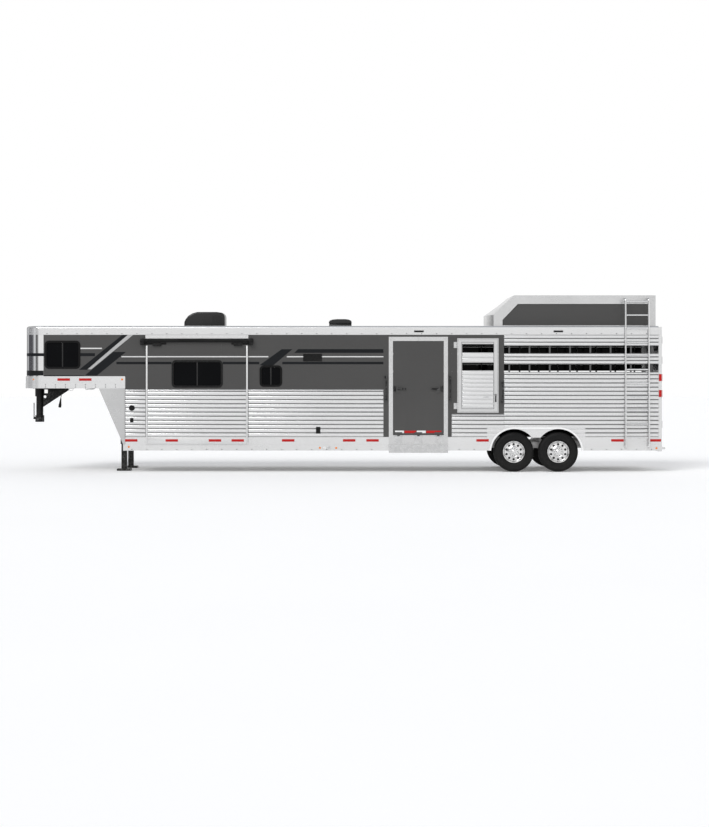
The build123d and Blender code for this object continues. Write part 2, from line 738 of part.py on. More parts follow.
# A hinged door of stiles, rails and an infill of planks
def plank_door(side, x0, x1, z0, z1, bar, infill, slots=()):
    outer, inner = half_width, half_width - door_thick
    for start, end in ((x0, x0 + bar), (x1 - bar, x1)):
        side_block(side, start, end, inner, outer, z0, z1)
    for low, high in ((z0, z0 + bar), (z1 - bar, z1)):
        side_block(side, x0 + bar, x1 - bar, inner, outer, low, high)
    edges = [z0 + bar] + [z for slot in slots for z in slot] + [z1 - bar]
    for low, high in zip(edges[::2], edges[1::2]):
        side_block(side, x0 + bar, x1 - bar, outer - 6 - infill, outer - 6, low, high)


def door_hinge_place(side, x, z):
    # Local Z runs up or down the hinge, local X points forwards to the fixed leaf, local Y outwards.
    return Plane(origin=(x, side * (half_width + barrel_stand), z), x_dir=(-1, 0, 0), z_dir=(0, 0, -side))


escape_slots = ((2030, 2190), (2390, 2560))
escape_axis_x = escape_front - jamb + 1
escape_hinge_zs = (escape_low + 120, escape_high - 120)
escape_latch = (escape_front + escape_width - 44, 1480)
with BuildPart() as escape_door:
    plank_door(-1, escape_front + moving_gap, escape_front + escape_width - moving_gap,
               escape_low + moving_gap, escape_high - moving_gap, stile, plank, escape_slots)
    for z in escape_hinge_zs:
        moving_leaf(door_hinge_place(-1, escape_axis_x, z), 120)
    x, z = escape_latch
    side_block(-1, x - 30, x + 30, half_width, half_width + 10, z - 100, z + 100)
    rod((x, -half_width, z + 60), (x, -half_width - 26, z + 60), latch_pivot)
    rod((x - 240, -half_width - 20, z + 20), (x - 140, -half_width - 20, z + 20), 9)
    for start in (x - 240, x - 149):
        rod((start + 4.5, -half_width + 6, z + 20), (start + 4.5, -half_width - 20, z + 20), 7)
finish(escape_door, "escape_door")
with BuildPart() as escape_paddle:
    latch_in = half_width + 10 + fit_gap
    rod((x, -latch_in, z + 60), (x, -latch_in - 14, z + 60), 22)
    side_block(-1, x - 14, x + 14, latch_in + 2, latch_in + 14, z - 80, z + 60)
    rod((x, -latch_in + 5, z + 60), (x, -latch_in - 30, z + 60), latch_pivot + pin_play, mode=Mode.SUBTRACT)
finish(escape_paddle, "escape_paddle")

# Entry door on the far side, with its hinges, pull and a small window pane's frame
entry_axis_x = entry_front - jamb + 1
entry_hinge_zs = (floor_top + 260, 1600, entry_high - 240)
with BuildPart() as entry_door:
    x0, x1 = entry_front + moving_gap, entry_front + entry_width - moving_gap
    side_block(1, x0, x1, half_width - door_thick, half_width - door_thick + 12,
               floor_top + moving_gap + 2, entry_high - moving_gap)
    side_block(1, x0, x1, half_width - door_thick + 12 + seam, half_width,
               floor_top + moving_gap + 2, entry_high - moving_gap)
    for z in entry_hinge_zs:
        moving_leaf(door_hinge_place(1, entry_axis_x, z), 120)
    rod((x1 - 60, half_width + 36, 1500), (x1 - 60, half_width + 36, 1780), 10)
    for z in (1510, 1770):
        rod((x1 - 60, half_width - 2, z), (x1 - 60, half_width + 36, z), 8)
finish(entry_door, "entry_door")

# Rear doors, hinged at the outer posts, and the cam bar that locks them
rear_door_thick = 14
rear_door_face = rear_x - 5
rear_axis_x = rear_x + barrel_stand
rear_axis_y = half_width - rear_post + 1
rear_hinge_zs = (950, 2235, 2640)
rear_door_edge = half_width - rear_post - moving_gap


def rear_hinge_place(side, z):
    # Local X points outwards along the rear face to the fixed leaf on the post.
    return Plane(origin=(rear_axis_x, side * rear_axis_y, z), x_dir=(0, side, 0), z_dir=(0, 0, -side))


bar_y = 60
bar_zs = (1240, 1880)
for side, name in ((-1, "left"), (1, "right")):
    with BuildPart() as rear_door:
        low, high = floor_top + moving_gap, eave - moving_gap
        x0 = rear_door_face - rear_door_thick
        side_block(side, x0, rear_door_face, 2, rear_door_edge, low, high)
        for start in (2, rear_door_edge - 60):
            side_block(side, x0 - 24, x0 - seam, start, start + 60, low, high)
        for z in rear_hinge_zs:
            place = rear_hinge_place(side, z)
            moving_leaf(place, 140)
            side_block(side, rear_door_face, rear_x + leaf_thick, rear_axis_y - leaf_reach,
                       rear_axis_y - barrel_radius - 4, z - 70, z + 70)
        if side > 0:
            for z in bar_zs:
                block(rear_door_face, rear_x + 6, bar_y - 22, bar_y + 22, z - 60, z + 60)
                block(rear_x + 6, rear_x + 42, bar_y - 22, bar_y + 22, z - 30, z + 30)
                rod((rear_x + 24, bar_y, z - 31), (rear_x + 24, bar_y, z + 31), 12.5 + pin_play,
                    mode=Mode.SUBTRACT)
    finish(rear_door, f"rear_door_{name}")
with BuildPart() as rear_latch:
    rod((rear_x + 24, bar_y, 1000), (rear_x + 24, bar_y, 2200), 12.5)
    block(rear_x + 18, rear_x + 30, bar_y, bar_y + 260, 1540, 1570)
    for z in (1020, 2160):
        rod((rear_x + 24, bar_y, z), (rear_x + 24, bar_y, z + 24), 20)
finish(rear_latch, "rear_latch")

# Roof load pod: a frame at each side, a bowed nose that leans back over its knee, and a hatch at the rear
pod_rear = pod_front + pod_length
pod_brow = pod_front + 411
pod_bow = 130
top_band, front_band, rear_band = 174, 180, 140
inner_knee = (pod_front + front_band, pod_knee - 103)
inner_brow = (pod_front + 488, pod_top - top_band)
pod_inner = pod_half - pod_bar - seam


def pod_opening(inset, low):
    # The side frame's opening, or the panel in it, drawn in by an inset.
    rear = pod_rear - rear_band - inset
    return [(inner_knee[0] + inset, low), (inner_knee[0] + inset, inner_knee[1] - inset / 2),
            (inner_brow[0] + inset / 2, inner_brow[1] - inset), (rear, inner_brow[1] - inset), (rear, low)]


def nose_section(x, bow, height):
    # The nose sheet's section at a height: two bows that close on each other at the side frames.
    with BuildSketch(Plane.XY.offset(height)) as section:
        with BuildLine():
            ThreePointArc((x, -pod_half), (x - bow, 0), (x, pod_half))
            Line((x, pod_half), (x, pod_half - 24))
            ThreePointArc((x, pod_half - 24), (x - bow + pod_sheet, 0), (x, -pod_half + 24))
            Line((x, -pod_half + 24), (x, -pod_half))
        make_face()
    return section.sketch


with BuildPart() as pod_frame:
    for side in (-1, 1):
        near, far = sorted((side * (pod_half - pod_bar), side * pod_half))
        with BuildSketch(side_plane(far)) as side_frame:
            with BuildLine():
                Polyline((pod_front, roof_top), (pod_front, pod_knee), (pod_brow, pod_top),
                         (pod_rear, pod_top), (pod_rear, roof_top), close=True)
            make_face()
            with BuildLine():
                Polyline(*pod_opening(0, roof_top + 16), close=True)
            make_face(mode=Mode.SUBTRACT)
        extrude(side_frame.sketch, amount=far - near)
    block(pod_rear - pod_bar, pod_rear, -pod_inner, pod_inner, pod_top - 60, pod_top)
    block(pod_brow + 8, pod_brow + 8 + pod_bar, -pod_inner, pod_inner, pod_top - 60, pod_top)
    block(pod_front, pod_front + pod_bar, -pod_inner, pod_inner, roof_top, roof_top + 40)
    extrude(nose_section(pod_front - seam, pod_bow, roof_top), amount=pod_knee - roof_top)
    loft([nose_section(pod_front - seam, pod_bow, pod_knee), nose_section(pod_brow - seam, 4, pod_top)], ruled=True)
finish(pod_frame, "pod_frame")

with BuildPart() as pod_panels:
    for side in (-1, 1):
        side_plate(side, pod_opening(seam, roof_top + 16 + seam), pod_half - 20 - pod_sheet, pod_half - 20)
    block(pod_brow + 8 + pod_bar + seam, pod_rear - pod_bar - seam, -pod_inner, pod_inner,
          pod_top - 12 - pod_sheet, pod_top - 12)
finish(pod_panels, "pod_panels")

hatch_axis_z = pod_top - 64
hatch_hinge_ys = (-600, 600)


def hatch_hinge_place(y):
    # Local X points up to the fixed leaf, local Y backwards.
    return Plane(origin=(pod_rear + barrel_stand, y, hatch_axis_z), x_dir=(0, 0, 1), z_dir=(0, 1, 0))


with BuildPart() as pod_hatch:
    block(pod_rear - 22, pod_rear - 6, -pod_inner + 4, pod_inner - 4, roof_top + 12, pod_top - 66)
    for y in hatch_hinge_ys:
        moving_leaf(hatch_hinge_place(y), 120)
        block(pod_rear - 6, pod_rear + leaf_thick, y - 60, y + 60, hatch_axis_z - leaf_reach,
              hatch_axis_z - barrel_radius - 6)
finish(pod_hatch, "pod_hatch")

# Wall fittings: fixed hinge leaves, ramp bumpers, ports, vent, tie rings and the sill bar
with BuildPart() as wall_fittings:
    for x in ramp_hinge_xs:
        place = ramp_hinge_place(x)
        fixed_leaf(place, 150)
        side_block(-1, x - 75, x + 75, half_width + 2, half_width + 7,
                   ramp_axis_z - leaf_reach - 90, ramp_axis_z - leaf_reach + 2)
    for z in escape_hinge_zs:
        fixed_leaf(door_hinge_place(-1, escape_axis_x, z), 120)
    for z in entry_hinge_zs:
        fixed_leaf(door_hinge_place(1, entry_axis_x, z), 120)
    for side in (-1, 1):
        for z in rear_hinge_zs:
            fixed_leaf(rear_hinge_place(side, z), 140)
    for y in hatch_hinge_ys:
        fixed_leaf(hatch_hinge_place(y), 120, reach=62)
    for x in (ramp_front - 42, ramp_front + ramp_width / 2, ramp_front + ramp_width + 42):
        rod((x, -half_width - 6, ramp_high + 46), (x, -half_width - 24, ramp_high + 46), 24)
    side_block(-1, ramp_hole[0], ramp_hole[1], half_width, half_width + 42, 384, rail_top - 4)
    rod((bulkhead_x + 134, -half_width, 1280), (bulkhead_x + 134, -half_width - 16, 1280), 55)
    side_block(-1, bulkhead_x + 104, bulkhead_x + 164, half_width, half_width + 14, 996, 1076)
    side_block(-1, partition_x - 1348, partition_x - 1266, half_width, half_width + 14, 776, 900)
    side_block(-1, partition_x - 1604, partition_x - 1234, half_width, half_width + 12, 2220, 2362)
    rod((partition_x - 1092, -half_width, 482), (partition_x - 1092, -half_width - 12, 482), 42)
    for side in (-1, 1):
        with BuildSketch(side_plane(side * (half_width - 20) + 6)):
            with Locations((nose_front + 960, nose_bottom)):
                Circle(52)
                Circle(40, mode=Mode.SUBTRACT)
                with Locations((0, 60)):
                    Rectangle(120, 120, mode=Mode.SUBTRACT)
        extrude(amount=12)
finish(wall_fittings, "wall_fittings")

# Lamps and reflectors
lamp_depth = 8
reflector_height = 50
with BuildPart() as lamps:
    reflectors = [(x, 632, 0) for x in (bulkhead_x - 4, partition_x - 2032, partition_x - 812,
                                        partition_x - 344, partition_x + 1858, rear_x - 1014, rear_x - 267)]
    reflectors += [(nose_front + 689, 1850, -3), (nose_front + 1121, 1850, -3)]
    for x, z, proud in reflectors:
        for side in (-1, 1):
            face, low = half_width + proud, z - reflector_height / 2
            side_block(side, x, x + 250, face, face + lamp_depth, low, low + reflector_height)
    markers = ((bulkhead_x + 72, 504, 0), (partition_x - 1272, 482, 0), (partition_x - 948, 482, 0),
               (rear_x - 108, 476, 0), (bulkhead_x - 62, 1852, -3))
    for x, z, proud in markers:
        for side in (-1, 1):
            rod((x, side * (half_width + proud), z), (x, side * (half_width + 9), z), 17)
    for side in (-1, 1):
        out = Vector(-cos(radians(64)), side * sin(radians(64)), 0)
        middle = Vector(corner_x - seam, side * corner_y, 1852)
        near_end, far_end = corner_radius - 2.8, corner_radius + 9
        rod(tuple(middle + out * near_end), tuple(middle + out * far_end), 17)
    side_block(-1, partition_x - 1210, partition_x - 1150, half_width, half_width + 12, 468, 496)
    for low in (1820, 1500):
        for side in (-1, 1):
            side_block(side, rear_in + 6, rear_x - 6, half_width, half_width + 10, low, low + 140)
            side_block(side, rear_x + seam, rear_x + 12, half_width - 80, half_width - 10, low, low + 140)
    for x in (partition_x + 615, partition_x + 3405):
        for side in (-1, 1):
            side_block(side, x, x + 190, half_width, half_width + 12, 2796, 2832)
    dome_y = neck_beam_y + beam_width / 2
    rod((nose_front + 1240, -dome_y, nose_bottom - 40), (nose_front + 1240, -dome_y, nose_bottom), 94)
finish(lamps, "lamps")

# Grab handles beside the ramp and the escape door, on both faces of the opening
with BuildPart() as grab_handles:
    handles = ((ramp_hole[0] - 52, 1460, 1900), (ramp_hole[1] + 42, 1460, 1900),
               (escape_hole[1] + 82, 1408, 1778))
    for x, low, high in handles:
        for z in (low, high):
            side_block(-1, x - 34, x + 14, half_width, half_width + 56, z - 18, z + 18)
        rod((x, -half_width - 44, low + 18 + seam), (x, -half_width - 44, high - 18 - seam), 12)
finish(grab_handles, "grab_handles")

# Ladder: two bent rails from the pod's side to the lower rail, and straight rungs
ladder_top_y = half_width + 26
ladder_foot_y = half_width + 100
ladder_top_z = 3480
ladder_foot_z = 490


def ladder_y(z):
    # How far out the rails stand at a height.
    share = (ladder_top_z - z) / (ladder_top_z - ladder_foot_z)
    return -(ladder_top_y + share * (ladder_foot_y - ladder_top_y))


with BuildPart() as ladder_rails:
    for x in (ladder_x, ladder_x + ladder_spacing):
        with BuildLine() as path:
            FilletPolyline((x, -pod_half - fit_gap, ladder_top_z), (x, -ladder_top_y, ladder_top_z),
                           (x, -ladder_foot_y, ladder_foot_z), (x, -half_width - fit_gap, ladder_foot_z),
                           radius=60)
        with BuildSketch(Plane(origin=(x, -pod_half - fit_gap, ladder_top_z), z_dir=(0, -1, 0))):
            Circle(ladder_tube)
        sweep(path=path.line)
finish(ladder_rails, "ladder_rails")
with BuildPart() as ladder_rungs:
    for step in range(rung_count):
        z = 3412 - step * ladder_pitch
        rod((ladder_x + ladder_tube + fit_gap, ladder_y(z), z),
            (ladder_x + ladder_spacing - ladder_tube - fit_gap, ladder_y(z), z), 15)
finish(ladder_rungs, "ladder_rungs")

# Roof units: air conditioner shroud and the roof vent's base with its lid
ac_front = bulkhead_x + 1102
ac_length = 831
vent_x = partition_x - 870
with BuildPart() as roof_units:
    with BuildSketch(side_plane(300)):
        with BuildLine():
            Polyline((ac_front, roof_top), (ac_front, roof_top + 120), (ac_front + 60, roof_top + 240),
                     (ac_front + 190, roof_top + 307), (ac_front + 640, roof_top + 307),
                     (ac_front + ac_length, roof_top + 250), (ac_front + ac_length, roof_top), close=True)
        make_face()
    extrude(amount=600)
    for side in (-1, 1):
        block(vent_x - 230, vent_x + 230, side * 200, side * 230, roof_top, roof_top + 56)
        block(vent_x + side * 200, vent_x + side * 230, -200 + seam, 200 - seam, roof_top, roof_top + 56)
    for y in (-120, 120):
        for start in (y - 31, y + 21):
            block(vent_x - 270, vent_x - 254, start, start + 10, roof_top, roof_top + 82)
        rod((vent_x - 262, y - 31, roof_top + 74), (vent_x - 262, y + 31, roof_top + 74), 5)
finish(roof_units, "roof_units")
with BuildPart() as vent_lid:
    with BuildSketch(side_plane(232)):
        with BuildLine():
            Polyline((vent_x - 232, roof_top + 60), (vent_x - 232, roof_top + 110),
                     (vent_x - 150, roof_top + 161), (vent_x + 150, roof_top + 161),
                     (vent_x + 232, roof_top + 110), (vent_x + 232, roof_top + 60), close=True)
        make_face()
    extrude(amount=464)
    for y in (-120, 120):
        block(vent_x - 262, vent_x - 232, y - 18, y + 18, roof_top + 67, roof_top + 81)
        rod((vent_x - 262, y - 18, roof_top + 74), (vent_x - 262, y + 18, roof_top + 74), 11)
        rod((vent_x - 262, y - 20, roof_top + 74), (vent_x - 262, y + 20, roof_top + 74), 5 + pin_play,
            mode=Mode.SUBTRACT)
finish(vent_lid, "vent_lid")

# Gooseneck steelwork: coupler tube with its gusset, mounting plate and the jacks' housings
jack_bottom = 541
with BuildPart() as gooseneck_steel:
    plate_low = nose_bottom - 12
    block(nose_front + 50, coupler_x + 720, -neck_beam_y - beam_width, neck_beam_y + beam_width,
          plate_low, nose_bottom - seam)
    rod((coupler_x, 0, 1110), (coupler_x, 0, plate_low), tube_outer)
    rod((coupler_x, 0, 1109), (coupler_x, 0, plate_low - 20), tube_outer - tube_wall, mode=Mode.SUBTRACT)
    with BuildSketch(side_plane(9)):
        with BuildLine():
            start = coupler_x + tube_outer - 4
            Polyline((start, plate_low), (coupler_x + 607, plate_low), (coupler_x + 607, plate_low - 30),
                     (start, 1277), close=True)
        make_face()
        with Locations((start + 62, plate_low - 60)):
            Rectangle(70, 76, mode=Mode.SUBTRACT)
        with Locations((start + 40, plate_low - 170)):
            Circle(28, mode=Mode.SUBTRACT)
    extrude(amount=18)
    rod((cable_x, cable_y, plate_low - cable_gland), (cable_x, cable_y, plate_low), 16)
    block(coupler_x - tube_outer - 22, coupler_x - tube_outer + 4, -9, 9, 1500, plate_low)
    for side in (-1, 1):
        side_block(side, jack_x - 150, bulkhead_x - seam, jack_y - 110, jack_y + 110, plate_low, nose_bottom - seam)
        for offset in (-1, 1):
            inner, outer = jack_leg / 2 + fit_gap, jack_outer / 2
            x0, x1 = sorted((jack_x + offset * inner, jack_x + offset * outer))
            side_block(side, x0, x1, jack_y - outer, jack_y + outer, jack_bottom, plate_low - seam)
            y0, y1 = sorted((jack_y + offset * inner, jack_y + offset * outer))
            side_block(side, jack_x - inner + seam, jack_x + inner - seam, y0, y1, jack_bottom, plate_low - seam)
finish(gooseneck_steel, "gooseneck_steel")

# Coupler: the sliding tube with its head and ball socket, and the latch lever
latch_axis = (coupler_x - 112, 1052)
with BuildPart() as coupler_head:
    rod((coupler_x, 0, 1060), (coupler_x, 0, plate_low - 40), tube_outer - tube_wall - fit_gap)
    rod((coupler_x, 0, coupler_low), (coupler_x, 0, 1109 - fit_gap), 92)
    rod((coupler_x, 0, coupler_low - 1), (coupler_x, 0, coupler_low + 62), ball_radius, mode=Mode.SUBTRACT)
    for y in (-26, 14):
        block(latch_axis[0] - 16, coupler_x - 60, y, y + 12, 1030, 1074)
    rod((latch_axis[0], -26, latch_axis[1]), (latch_axis[0], 26, latch_axis[1]), 7)
finish(coupler_head, "coupler_head")
with BuildPart() as coupler_latch:
    block(latch_axis[0] - 14, latch_axis[0] + 2, -13.5, 13.5, latch_axis[1], 1368)
    rod((latch_axis[0], -13.5, latch_axis[1]), (latch_axis[0], 13.5, latch_axis[1]), 16)
    rod((latch_axis[0], -15, latch_axis[1]), (latch_axis[0], 15, latch_axis[1]), 7 + pin_play,
        mode=Mode.SUBTRACT)
finish(coupler_latch, "coupler_latch")

# Landing jack legs
for side, name in ((-1, "left"), (1, "right")):
    with BuildPart() as leg:
        half = jack_leg / 2
        side_block(side, jack_x - half, jack_x + half, jack_y - half, jack_y + half, foot_thick, 1150)
        side_block(side, jack_x - foot_size / 2, jack_x + foot_size / 2, jack_y - foot_size / 2,
                   jack_y + foot_size / 2, 0, foot_thick)
    finish(leg, f"jack_leg_{name}")

# Trailer cable: a short lead that hangs from the coupler plate, with its plug at the end
cable_route = [(cable_x, cable_y, plate_low - cable_gland), (cable_x, cable_y, plate_low - 74),
               (cable_x - 5, cable_y - 3, plate_low - 118), (cable_x - 15, cable_y - 1, plate_low - 160),
               (cable_x - 20, cable_y + 1, plate_low - 200)]
turns = [Vector(*b) - Vector(*a) for a, b in zip(cable_route, cable_route[1:])]
cable_radii = []
for before, after in zip(turns, turns[1:]):
    bend = radians(before.get_angle(after))
    cable_radii.append(0.45 * min(before.length, after.length) / tan(bend / 2))
print("cable bend radii", [round(r) for r in cable_radii])
with BuildPart() as plug_cable:
    with BuildLine() as path:
        FilletPolyline(*cable_route, radius=cable_radii)
    with BuildSketch(Plane(origin=cable_route[0], z_dir=turns[0])):
        Circle(cable_radius)
    sweep(path=path.line)
finish(plug_cable, "plug_cable")
with BuildPart() as trailer_plug:
    along = turns[-1].normalized()
    start = Vector(*cable_route[-1])
    with BuildSketch(Plane(origin=start, z_dir=along)):
        Circle(11)
    with BuildSketch(Plane(origin=start + along * 120, z_dir=along)):
        Circle(26)
    loft()
    rod(tuple(start + along * 120), tuple(start + along * 190), 29)
finish(trailer_plug, "trailer_plug")
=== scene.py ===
# A long gooseneck livestock trailer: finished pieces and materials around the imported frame.
import math

import bpy
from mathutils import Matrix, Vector


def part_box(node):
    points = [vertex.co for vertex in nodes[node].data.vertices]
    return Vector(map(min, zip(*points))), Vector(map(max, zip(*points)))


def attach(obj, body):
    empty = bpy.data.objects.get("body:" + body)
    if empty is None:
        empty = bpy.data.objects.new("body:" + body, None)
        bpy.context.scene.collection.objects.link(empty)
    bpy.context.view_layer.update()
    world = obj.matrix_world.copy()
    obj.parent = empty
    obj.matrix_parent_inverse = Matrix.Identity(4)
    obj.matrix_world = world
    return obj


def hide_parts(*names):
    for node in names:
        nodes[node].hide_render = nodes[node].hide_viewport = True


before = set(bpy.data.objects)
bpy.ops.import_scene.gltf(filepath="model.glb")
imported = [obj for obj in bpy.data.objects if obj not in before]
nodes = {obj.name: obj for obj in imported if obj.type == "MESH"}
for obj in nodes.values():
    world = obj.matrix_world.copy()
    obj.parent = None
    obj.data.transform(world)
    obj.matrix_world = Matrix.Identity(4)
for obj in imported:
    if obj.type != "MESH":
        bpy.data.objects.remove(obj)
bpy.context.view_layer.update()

trailer = {"sideY": 1.219, "floorTop": 0.700, "skinJoint": 1.656, "wallRear": 6.290}
slide = {"front": -3.959, "rear": -1.937, "face": 1.2475}

# Camera, light and floor
camera = {"distance": 41.22, "height": 1.998, "x": 0.205, "lens": 87.0, "drop": -0.050}
bpy.ops.object.camera_add(location=(camera["x"], -camera["distance"], camera["height"]),
                          rotation=(math.pi / 2, 0, 0))
viewer = bpy.context.object
viewer.data.lens = camera["lens"]
viewer.data.shift_y = camera["drop"]
viewer.data.clip_end = 400
bpy.context.scene.camera = viewer
bpy.context.scene.view_settings.view_transform = "Standard"

studio = {"backdrop": 1.0, "side": 1.0, "zenith": (0.34, 0.36, 0.40), "ground": (0.50, 0.50, 0.50),
          "sun": 1.5, "flags": (0.02, 0.10, 0.16, 0.22, 0.30)}
world = bpy.data.worlds.new("studioWorld")
bpy.context.scene.world = world
world.use_nodes = True
sky = world.node_tree.nodes
skyLinks = world.node_tree.links
skyPlace = sky.new("ShaderNodeTexCoord")
skySplit = sky.new("ShaderNodeSeparateXYZ")
skyRamp = sky.new("ShaderNodeValToRGB")
skyRange = sky.new("ShaderNodeMapRange")
skyRange.inputs["From Min"].default_value = -1
skyRange.inputs["From Max"].default_value = 1
skyRamp.color_ramp.elements[0].position = 0.42
skyRamp.color_ramp.elements[0].color = (*studio["ground"], 1)
skyRamp.color_ramp.elements[1].position = 0.52
skyRamp.color_ramp.elements[1].color = (studio["side"],) * 3 + (1,)
skyTop = skyRamp.color_ramp.elements.new(0.97)
skyTop.color = (*studio["zenith"], 1)
skyWaist = skyRamp.color_ramp.elements.new(0.78)
skyWaist.color = (1.0, 1.0, 1.0, 1)
# Dark flags towards the nose, so that polished bends have something to show
flagSplit = sky.new("ShaderNodeValToRGB")
flagSplit.color_ramp.interpolation = "LINEAR"
flagStops = flagSplit.color_ramp.elements
flagStops[0].position, flagStops[0].color = studio["flags"][0], (0.10, 0.10, 0.11, 1)
flagStops[1].position, flagStops[1].color = studio["flags"][1], (0.85, 0.86, 0.88, 1)
for stop, tone in zip(studio["flags"][2:], (0.12, 0.16, 1.0)):
    flagStops.new(stop).color = (tone, tone, tone, 1)
flagMix = sky.new("ShaderNodeMix")
flagMix.data_type = "RGBA"
flagMix.blend_type = "MULTIPLY"
flagMix.inputs["Factor"].default_value = 1.0
flagRange = sky.new("ShaderNodeMapRange")
flagRange.inputs["From Min"].default_value = -1
flagRange.inputs["From Max"].default_value = 1
skyRay = sky.new("ShaderNodeLightPath")
skyMix = sky.new("ShaderNodeMix")
skyMix.data_type = "RGBA"
skyMix.inputs["B"].default_value = (studio["backdrop"],) * 3 + (1,)
skyLinks.new(skyPlace.outputs["Generated"], skySplit.inputs[0])
skyLinks.new(skySplit.outputs["Z"], skyRange.inputs["Value"])
skyLinks.new(skyRange.outputs["Result"], skyRamp.inputs["Fac"])
skyLinks.new(skySplit.outputs["X"], flagRange.inputs["Value"])
skyLinks.new(flagRange.outputs["Result"], flagSplit.inputs["Fac"])
skyLinks.new(skyRamp.outputs["Color"], flagMix.inputs["A"])
skyLinks.new(flagSplit.outputs["Color"], flagMix.inputs["B"])
skyLinks.new(flagMix.outputs["Result"], skyMix.inputs["A"])
skyLinks.new(skyRay.outputs["Is Camera Ray"], skyMix.inputs["Factor"])
skyLinks.new(skyMix.outputs["Result"], sky["Background"].inputs["Color"])

bpy.ops.object.light_add(type="SUN", rotation=(math.radians(48), math.radians(-14), math.radians(-18)))
keyLight = bpy.context.object
keyLight.data.energy = studio["sun"]
keyLight.data.angle = math.radians(30)

bpy.ops.mesh.primitive_plane_add(size=240, location=(0, 0, -0.001))
floor = bpy.context.object
floor.name = "studioFloor"
print("camera, light and floor are set")


# Modelling helpers
def deselectAll():
    if bpy.context.object and bpy.context.object.mode != "OBJECT":
        bpy.ops.object.mode_set(mode="OBJECT")
    bpy.ops.object.select_all(action="DESELECT")


def activate(piece):
    deselectAll()
    piece.select_set(True)
    bpy.context.view_layer.objects.active = piece


def settle(piece):
    activate(piece)  # the place goes into the mesh
    bpy.ops.object.transform_apply(location=True, rotation=True, scale=True)


def nameIt(piece, name):
    piece.name = name
    piece.data.name = name
    return piece


def addBlock(name, low, high):
    deselectAll()
    middle = [(a + b) / 2 for a, b in zip(low, high)]
    bpy.ops.mesh.primitive_cube_add(size=1, location=middle, scale=[abs(b - a) for a, b in zip(low, high)])
    piece = bpy.context.object
    settle(piece)
    return nameIt(piece, name)


def addRod(name, start, end, radius, vertices=24):
    deselectAll()
    line = Vector(end) - Vector(start)
    turn = line.to_track_quat("Z", "Y").to_euler()
    bpy.ops.mesh.primitive_cone_add(vertices=vertices, radius1=radius, radius2=radius, depth=line.length,
                                    location=(Vector(start) + Vector(end)) / 2, rotation=turn)
    piece = bpy.context.object
    settle(piece)
    return nameIt(piece, name)


def addRing(name, centre, radius, thickness, axis="Y", around=64, across=10):
    deselectAll()
    turn = {"Y": (math.pi / 2, 0, 0), "Z": (0, 0, 0)}[axis]
    bpy.ops.mesh.primitive_torus_add(location=centre, rotation=turn, major_radius=radius,
                                     minor_radius=thickness, major_segments=around, minor_segments=across)
    piece = bpy.context.object
    settle(piece)
    return nameIt(piece, name)


def addDome(name, centre, radius, axis, height, around=24, rings=8):
    # Half a ball pressed to a height, its flat side at the centre and its top along the axis.
    deselectAll()
    bpy.ops.mesh.primitive_uv_sphere_add(segments=around, ring_count=rings, radius=radius)
    piece = bpy.context.object
    bpy.ops.object.mode_set(mode="EDIT")
    bpy.ops.mesh.select_all(action="SELECT")
    bpy.ops.mesh.bisect(plane_co=(0, 0, 0), plane_no=(0, 0, 1), clear_inner=True, use_fill=True)
    bpy.ops.object.mode_set(mode="OBJECT")
    piece.scale = (1, 1, height / radius)
    piece.rotation_euler = Vector(axis).to_track_quat("Z", "Y").to_euler()
    piece.location = centre
    settle(piece)
    return nameIt(piece, name)


def useModifiers(piece):
    activate(piece)
    for step in list(piece.modifiers):
        bpy.ops.object.modifier_apply(modifier=step.name)


def smooth(piece, angle=35):
    activate(piece)
    bpy.ops.object.shade_smooth_by_angle(angle=math.radians(angle))
    return piece


def soften(piece, width, segments=2, angle=30):
    bevel = piece.modifiers.new("softEdges", "BEVEL")
    bevel.width = width
    bevel.segments = segments
    bevel.limit_method = "ANGLE"
    bevel.angle_limit = math.radians(angle)
    bevel.use_clamp_overlap = True
    useModifiers(piece)
    return smooth(piece)


def repeatPiece(piece, count, step):
    if count > 1:
        rows = piece.modifiers.new("rows", "ARRAY")
        rows.use_relative_offset = False
        rows.use_constant_offset = True
        rows.constant_offset_displace = step
        rows.count = count
        useModifiers(piece)
    return piece


def joinAll(name, pieces):
    deselectAll()
    for piece in pieces:
        piece.select_set(True)
    bpy.context.view_layer.objects.active = pieces[0]
    if len(pieces) > 1:
        bpy.ops.object.join()
    return nameIt(bpy.context.object, name)


def pickFaces(piece, test):
    # Leaves the piece in edit mode with only the faces that pass the test selected.
    activate(piece)
    bpy.ops.object.mode_set(mode="EDIT")
    bpy.ops.mesh.select_mode(type="FACE")
    bpy.ops.mesh.select_all(action="DESELECT")
    bpy.ops.object.mode_set(mode="OBJECT")
    for face in piece.data.polygons:
        face.select = bool(test(face))
    bpy.ops.object.mode_set(mode="EDIT")


def leaveEdit():
    bpy.ops.object.mode_set(mode="OBJECT")


def outline(name, corners, y, thickness):
    # A flat plate with its corners in X and Z, its outer face at y and its thickness towards +Y.
    deselectAll()
    bpy.ops.mesh.primitive_circle_add(vertices=len(corners), radius=1, fill_type="NGON")
    piece = bpy.context.object
    for point, (x, z) in zip(piece.data.vertices, corners):
        point.co = (x, y, z)
    bpy.ops.object.mode_set(mode="EDIT")
    bpy.ops.mesh.select_all(action="SELECT")
    bpy.ops.mesh.extrude_region_move(TRANSFORM_OT_translate={"value": (0, thickness, 0)})
    bpy.ops.mesh.select_all(action="SELECT")
    bpy.ops.mesh.normals_make_consistent(inside=False)
    leaveEdit()
    return nameIt(piece, name)


def copyOf(piece, name, shift=(0, 0, 0), turn=0.0):
    copy = piece.copy()
    copy.data = piece.data.copy()
    bpy.context.collection.objects.link(copy)
    copy.rotation_euler = (0, 0, turn)
    copy.location = shift
    settle(copy)
    return nameIt(copy, name)


